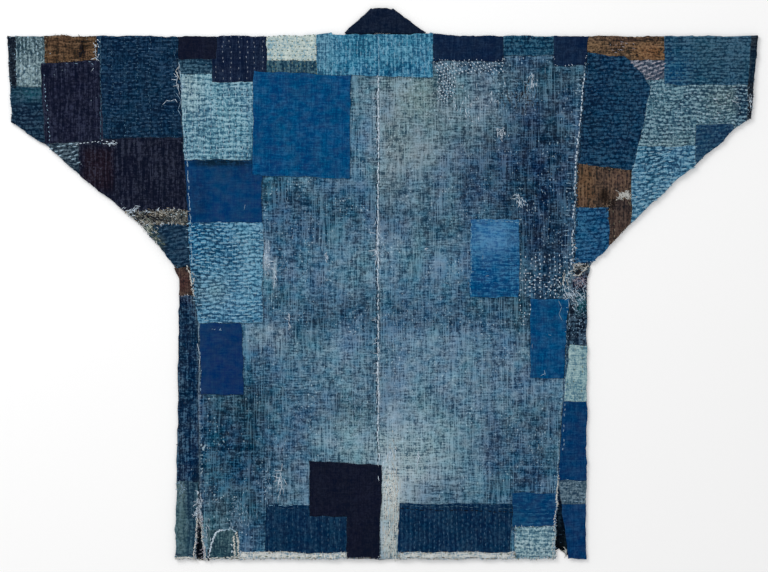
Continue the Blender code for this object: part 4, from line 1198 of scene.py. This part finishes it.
# Worn threads: how far they turn, in degrees, the share that lies crosswise, the least and most of
# their length, as a share of the table's, and of their width in millimetres.
WORN_TURN = 14
CROSSWISE = 0.2
WORN_LENGTHS = (0.5, 1.3)
WORN_WIDTHS = (0.8, 1.4)

# Frayed threads: the share that is missing, how far back they start, how far they turn, and their
# lengths and widths, as above.
FRAY_GAPS = 0.25
FRAY_STARTS = (0.6, 3.0)
FRAY_TURN = 48
FRAY_LENGTHS = (0.4, 1.2)
FRAY_WIDTHS = (0.9, 1.7)

# How strongly threads curl, in degrees, and how much longer a loose thread is than its way.
WORN_CURL = 20
FRAY_CURL = 60
LOOSE_CURL = 6
SLACK = 1.15


class Sewing:
    """Sews stitches and lays loose fibres on the cloth that shows from above."""

    def __init__(self, pieces):
        corners, faces, self.owners = [], [], []
        for node, piece in pieces.items():
            data = piece.data
            points = numbers(data.vertices, "co", 3)
            tall = numbers(data.polygons, "normal", 3)[:, 2]
            indices = np.zeros(len(data.loops), np.int32)
            data.loops.foreach_get("vertex_index", indices)
            shown = indices.reshape(-1, 3)[tall > STEEPEST] + len(corners)
            corners.extend(points.tolist())
            faces.extend(shown.tolist())
            self.owners.extend([node] * len(shown))
        self.tree = BVHTree.FromPolygons(corners, faces)
        self.draw = np.random.default_rng(5)
        self.stitches = {}
        self.fibres = {}

    def at(self, across, down):
        """The height of what shows at a place, in millimetres, and the piece that it is."""
        above = place(across, down, SEARCH_HEIGHT)
        hit, _, face, _ = self.tree.ray_cast(above, Vector((0, 0, -1)))
        return (hit.z / MM, self.owners[face]) if hit else (None, None)

    def group(self, owner, across, thread):
        """The panel that a thread goes with, and the name its meshes are grouped under."""
        side = "left" if across < CENTRE_SEAM else "right"
        part = "back"
        if owner.startswith(("sleeve", "cuff")):
            part = "sleeve"
        if owner.startswith(("side", "front")):
            part = "front"
        return f"{part}_{side}", THREADS[thread].slot

    def colour(self, thread):
        return linear(THREADS[thread].colour) * self.draw.uniform(*SHADES)

    def stitch(self, across, down, run, length, width, thread, allowed=None):
        """One stitch, if the cloth that shows at its middle is allowed."""
        middle, owner = self.at(across, down)
        if owner is None or (allowed and owner != allowed):
            return
        turn = math.radians(run + self.draw.normal(0, STITCH_TURN))
        length = length * self.draw.uniform(*STITCH_LENGTHS)
        width = width * self.draw.uniform(*STITCH_WIDTHS)
        towards = (math.cos(turn), math.sin(turn))
        heights = [middle]
        for half in (-length / 2, length / 2):
            end, _ = self.at(across + half * towards[0], down + half * towards[1])
            heights.append(middle if end is None or abs(end - middle) > END_DROP else end)
        key = self.group(owner, across, thread)
        row = (across, down, *towards, length, width, *heights, *self.colour(thread))
        self.stitches.setdefault(key, []).append(row)

    def rows(self, rows, left, right, top, bottom):
        """Rows of running stitches over a box."""
        along, over = row_frame(rows)
        step = rows.stitch + rows.gap
        corners = [(x, y) for x in (left, right) for y in (top, bottom)]
        u_ends = [(x * along[0] + y * along[1]) / step for x, y in corners]
        v_ends = [(x * over[0] + y * over[1]) / rows.pitch for x, y in corners]
        first, last = math.floor(min(v_ends)) - 1, math.ceil(max(v_ends)) + 1
        begin, end = math.floor(min(u_ends)) - 1, math.ceil(max(u_ends)) + 1
        v, u = np.mgrid[first : last + 1, begin : end + 1].astype(float)
        u = u - (rows.brick * v) % 1 + self.draw.normal(0, STRAY_ALONG, u.shape)
        v = v + self.draw.normal(0, STRAY_OVER, v.shape)
        kept = self.draw.random(u.shape) < rows.cover
        u, v = u[kept] * step, v[kept] * rows.pitch
        x, y = u * along[0] + v * over[0], u * along[1] + v * over[1]
        stray = rows.wobble * ROW_WOBBLE(x, y)
        x, y = x - stray * over[0], y - stray * over[1]
        inside = (left < x) & (x < right) & (top < y) & (y < bottom)
        x, y = shifted(x[inside], y[inside])
        for across, down in zip(x.tolist(), y.tolist()):
            self.stitch(across, down, rows.run, rows.stitch, rows.width, rows.thread, rows.piece)

    def seam(self, seam):
        """A line of stitches through given places."""
        for across, down, run in steps_along(seam.places, seam.pitch):
            if self.draw.random() > seam.cover:
                continue
            aside, below = self.draw.normal(0, SEAM_STRAY, 2)
            across, down = shifted(across + aside, down + below)
            turned_by = seam.lean * self.draw.choice((-1, 1))
            self.stitch(across, down, run + turned_by, seam.length, seam.width, seam.thread)

    def fibre(self, across, down, run, length, width, thread, curl):
        """A loose tapering thread that starts at a place and follows the cloth or hangs off it."""
        level, owner = self.at(across, down)
        if owner is None:
            return
        turn = math.radians(run)
        bend = math.radians(self.draw.normal(0, curl))
        path = [(across, down, level + FIBRE_RISE)]
        for _ in range(3):
            across, down = across + length / 3 * math.cos(turn), down + length / 3 * math.sin(turn)
            turn += bend / 3
            found, _ = self.at(across, down)
            fallen = max(path[-1][2] - length / 5, FLOOR_RISE)
            path.append((across, down, fallen if found is None else found + FIBRE_RISE))
        key = self.group(owner, path[0][0], thread)
        row = (*np.array(path).ravel(), width, *self.colour(thread))
        self.fibres.setdefault(key, []).append(row)

    def worn(self, worn):
        """Short bare threads scattered over an area."""
        for _ in range(worn.count):
            aside, below = self.draw.normal(0, 0.5, 2)
            run = worn.turn + self.draw.normal(0, WORN_TURN) + 90 * (self.draw.random() < CROSSWISE)
            length = worn.length * self.draw.uniform(*WORN_LENGTHS)
            self.fibre(
                worn.across + aside * worn.width, worn.down + below * worn.height,
                run, length, self.draw.uniform(*WORN_WIDTHS), worn.thread, WORN_CURL,
            )

    def fray(self, fray, outlines):
        """Bare threads out of the outlines of some pieces, within a box."""
        for piece in fray.pieces.split():
            for outline in outlines[piece]:
                for across, down, run in steps_along(outline.tolist(), fray.spacing):
                    inside = fray.left < across < fray.right and fray.top < down < fray.bottom
                    if not inside or self.draw.random() < FRAY_GAPS:
                        continue
                    outwards = math.radians(run + 90)
                    back = self.draw.uniform(*FRAY_STARTS)
                    self.fibre(
                        across - back * math.cos(outwards), down - back * math.sin(outwards),
                        run + 90 + self.draw.normal(0, FRAY_TURN),
                        fray.length * self.draw.uniform(*FRAY_LENGTHS),
                        self.draw.uniform(*FRAY_WIDTHS),
                        str(self.draw.choice(fray.threads)), FRAY_CURL,
                    )

    def loose(self, loose):
        """One long loose thread."""
        for (x, y), (x_to, y_to) in zip(loose.places, loose.places[1:]):
            run = math.degrees(math.atan2(y_to - y, x_to - x))
            length = SLACK * math.hypot(x_to - x, y_to - y)
            self.fibre(x, y, run, length, loose.width, loose.thread, LOOSE_CURL)


def steps_along(places, pitch):
    """Places every "pitch" along a line, each with the line's direction in degrees."""
    left_over = pitch / 2
    for (x, y), (x_to, y_to) in zip(places, places[1:]):
        length = math.hypot(x_to - x, y_to - y)
        run = math.degrees(math.atan2(y_to - y, x_to - x))
        gone = left_over
        while gone < length:
            yield x + (x_to - x) * gone / length, y + (y_to - y) * gone / length, run
            gone += pitch
        left_over = gone - length


# A stitch's eight corners: how far along its half length, aside in widths, and how high in widths.
# "SUNK" is how deep they lie in the cloth, in widths.
STITCH_CORNERS = np.array([
    (-1, 0, 0),
    (-0.6, -0.5, 0), (-0.6, 0, 0.5), (-0.6, 0.5, 0),
    (0.6, -0.5, 0), (0.6, 0, 0.5), (0.6, 0.5, 0),
    (1, 0, 0),
])
SUNK = 0.12


def ring_faces(first, second):
    """The sides between two rings of three corners."""
    return [(first + i, second + i, second + (i + 1) % 3, first + (i + 1) % 3) for i in range(3)]


STITCH_FACES = (
    [(0, 1 + i, 1 + (i + 1) % 3) for i in range(3)]
    + ring_faces(1, 4)
    + [(4 + i, 7, 4 + (i + 1) % 3) for i in range(3)]
)
FIBRE_FACES = (
    [(0, 1, 2)]
    + ring_faces(0, 3)
    + ring_faces(3, 6)
    + [(6 + i, 9, 6 + (i + 1) % 3) for i in range(3)]
)


def repeated(faces, count, corners):
    """The same faces for each of a number of equal shapes."""
    starts = range(0, count * corners, corners)
    return [tuple(start + i for i in face) for start in starts for face in faces]


def stitch_mesh(name, rows, material):
    """Stitches as one mesh of low rounded dashes that follow the cloth."""
    values = np.array(rows)
    x, y, along_x, along_y, length, width, middle, start, end = values[:, :9].T[:, :, None]
    share, aside, rise = STITCH_CORNERS.T
    across = x + share * length / 2 * along_x + aside * width * along_y
    down = y + share * length / 2 * along_y - aside * width * along_x
    base = middle + np.abs(share) * (np.where(share < 0, start, end) - middle)
    level = base + (rise - SUNK) * width
    points = np.stack([across, SHOULDER_Y - down, level], axis=2).reshape(-1, 3) * MM
    faces = repeated(STITCH_FACES, len(values), 8)
    return add_mesh(name, points, faces, np.repeat(values[:, 9:], 8, axis=0), material)


def fibre_mesh(name, rows, material):
    """Loose fibres as one mesh of thin tapering threads."""
    values = np.array(rows)
    path, width = values[:, :12].reshape(-1, 4, 3), values[:, 12]
    path[:, :, 1] = SHOULDER_Y - path[:, :, 1]
    heading = path[:, 3, :2] - path[:, 0, :2]
    heading /= np.maximum(np.linalg.norm(heading, axis=1), 0.01)[:, None]
    left = np.stack([-heading[:, 1], heading[:, 0], np.zeros(len(values))], axis=1)
    corners = []
    for number, thick in ((0, 0.7), (1, 1.0), (2, 0.7)):
        for aside, rise in ((-0.5, -0.3), (0, 0.35), (0.5, -0.3)):
            offset = left * (aside * thick * width)[:, None]
            offset[:, 2] += rise * thick * width
            corners.append(path[:, number] + offset)
    corners.append(path[:, 3])
    points = np.stack(corners, axis=1).reshape(-1, 3) * MM
    faces = repeated(FIBRE_FACES, len(values), 10)
    return add_mesh(name, points, faces, np.repeat(values[:, 13:], 10, axis=0), material)


# ---------------------------------------------------------------- stage

VIEW_WIDTH = 1.252
VIEW_CENTRE = (0.0020, -0.0039)
CAMERA_HEIGHT = 3.2
SENSOR = 36.0

FLOOR_SIZE = 14
FLOOR_LEVEL = -0.0002
SKY_STRENGTH = 0.78
LAMP_SIZE = 1.2
LAMP_POWER = 42
LAMP_PLACE = (-1.7, 1.9, 1.9)


def add_stage():
    """A pale floor, an even sky and one broad soft lamp from the upper left."""
    bpy.ops.mesh.primitive_plane_add(size=FLOOR_SIZE)
    floor = bpy.context.object
    floor.name = "floor"
    floor.location.z = FLOOR_LEVEL
    paper = Nodes("floor_paper")
    looks = {"Base Color": (0.95, 0.95, 0.95, 1), "Roughness": 0.9, "Specular IOR Level": 0.2}
    paper.feed(paper.shader, looks)
    floor.data.materials.append(paper.material)
    world = bpy.data.worlds.new("studio")
    bpy.context.scene.world = world
    world.use_nodes = True
    background = world.node_tree.nodes["Background"]
    background.inputs["Color"].default_value = (1, 1, 1, 1)
    background.inputs["Strength"].default_value = SKY_STRENGTH
    lamp = bpy.data.objects.new("softbox", bpy.data.lights.new("softbox", "AREA"))
    lamp.data.shape = "SQUARE"
    lamp.data.size = LAMP_SIZE
    lamp.data.energy = LAMP_POWER
    lamp.location = LAMP_PLACE
    lamp.rotation_euler = (-lamp.location).to_track_quat("-Z", "Y").to_euler()
    bpy.context.scene.collection.objects.link(lamp)


def add_camera():
    camera = bpy.data.objects.new("camera", bpy.data.cameras.new("camera"))
    camera.data.sensor_width = SENSOR
    camera.data.lens = SENSOR * CAMERA_HEIGHT / VIEW_WIDTH
    camera.location = (*VIEW_CENTRE, CAMERA_HEIGHT)
    bpy.context.scene.collection.objects.link(camera)
    bpy.context.scene.camera = camera


def box_of(node):
    """The left, right, top and bottom of a CAD node, in millimetres across and down."""
    low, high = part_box(node)
    return low.x / MM, high.x / MM, SHOULDER_Y - high.y / MM, SHOULDER_Y - low.y / MM


def panel_of(node):
    """The panel that a patch lies on."""
    if node.startswith("cuff_band"):
        return node.replace("cuff_band", "sleeve")
    if node.startswith("side"):
        return "front_left" if "left" in node else "front_right"
    if node.startswith("sleeve"):
        return "sleeve_left" if "left" in node else "sleeve_right"
    left, right, _, _ = box_of(node)
    return "back_left" if (left + right) / 2 < CENTRE_SEAM else "back_right"


# A patch covers at least this share of the box around it.
LEAST_SHARE = 0.31

# Each panel's cut: width, length and area, in metres, what it lies on.
Cut = namedtuple("Cut", "width length area rests_on")
CUTS = {
    "front_left": Cut(0.31, 0.84, 0.247, ()),
    "front_right": Cut(0.31, 0.84, 0.247, ()),
    "back_left": Cut(0.31, 0.865, 0.262, ("front_left",)),
    "back_right": Cut(0.31, 0.865, 0.262, ("front_right",)),
    "sleeve_left": Cut(0.30, 0.75, 0.1375, ()),
    "sleeve_right": Cut(0.30, 0.75, 0.1375, ()),
    "collar": Cut(0.052, 1.84, 0.0955, ("front_left", "front_right")),
}


def declare_cloth(pieces, trims):
    """Works out each panel's cut, what it lies on and its threads, and each patch's size, area and
    panel; the results are not used.
    """
    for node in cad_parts:
        if node in CUTS:
            cut = CUTS[node]
            rests_on = [name + "_cloth" for name in cut.rests_on]
            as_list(trims.get(node, []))
        else:
            left, right, top, bottom = box_of(node)
            width, length = (right - left) * MM, (bottom - top) * MM
            area = min(max(one_layer(node), LEAST_SHARE * width * length), width * length)
            panel_of(node) + "_cloth"


def brick_of(look):
    """How far every other row of stitches is shifted in the look's pieces."""
    rows = [main_rows(piece) for piece in look.pieces.split()]
    return next((found.brick for found in rows if found), 0)


def main():
    scene = bpy.context.scene
    scene.view_settings.view_transform = "Standard"
    add_camera()
    add_stage()
    pieces, outlines = {}, {}
    for number, look in enumerate(LOOKS):
        # The first look's noises start at 0 and the others' from two steps on.
        steps = number + 1 if number else 0
        material = cloth_material(look, brick_of(look), NOISE_STEP * steps)
        for node in look.pieces.split():
            pieces[node], outlines[node] = cloth_piece(node, material, look)
    sewing = Sewing(pieces)
    for rows in ROWS:
        sewing.rows(rows, *box_of(rows.piece))
    for area in AREAS:
        sewing.rows(
            Rows(*area.rows),
            area.across - area.width, area.across + area.width,
            area.down - area.height, area.down + area.height,
        )
    for seam in SEAMS:
        sewing.seam(seam)
    for worn in WORN:
        sewing.worn(worn)
    for fray in FRAYS:
        sewing.fray(fray, outlines)
    for loose in LOOSE:
        sewing.loose(loose)
    thread = thread_material()
    trims = {}
    for kind, build, found in (
        ("stitches", stitch_mesh, sewing.stitches),
        ("fibres", fibre_mesh, sewing.fibres),
    ):
        for (panel, slot), rows in sorted(found.items()):
            piece = build(f"{kind}_{panel}_{slot}", rows, thread)
            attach(piece, "root")
            trims.setdefault(panel, []).append(piece)
    declare_cloth(pieces, trims)


main()
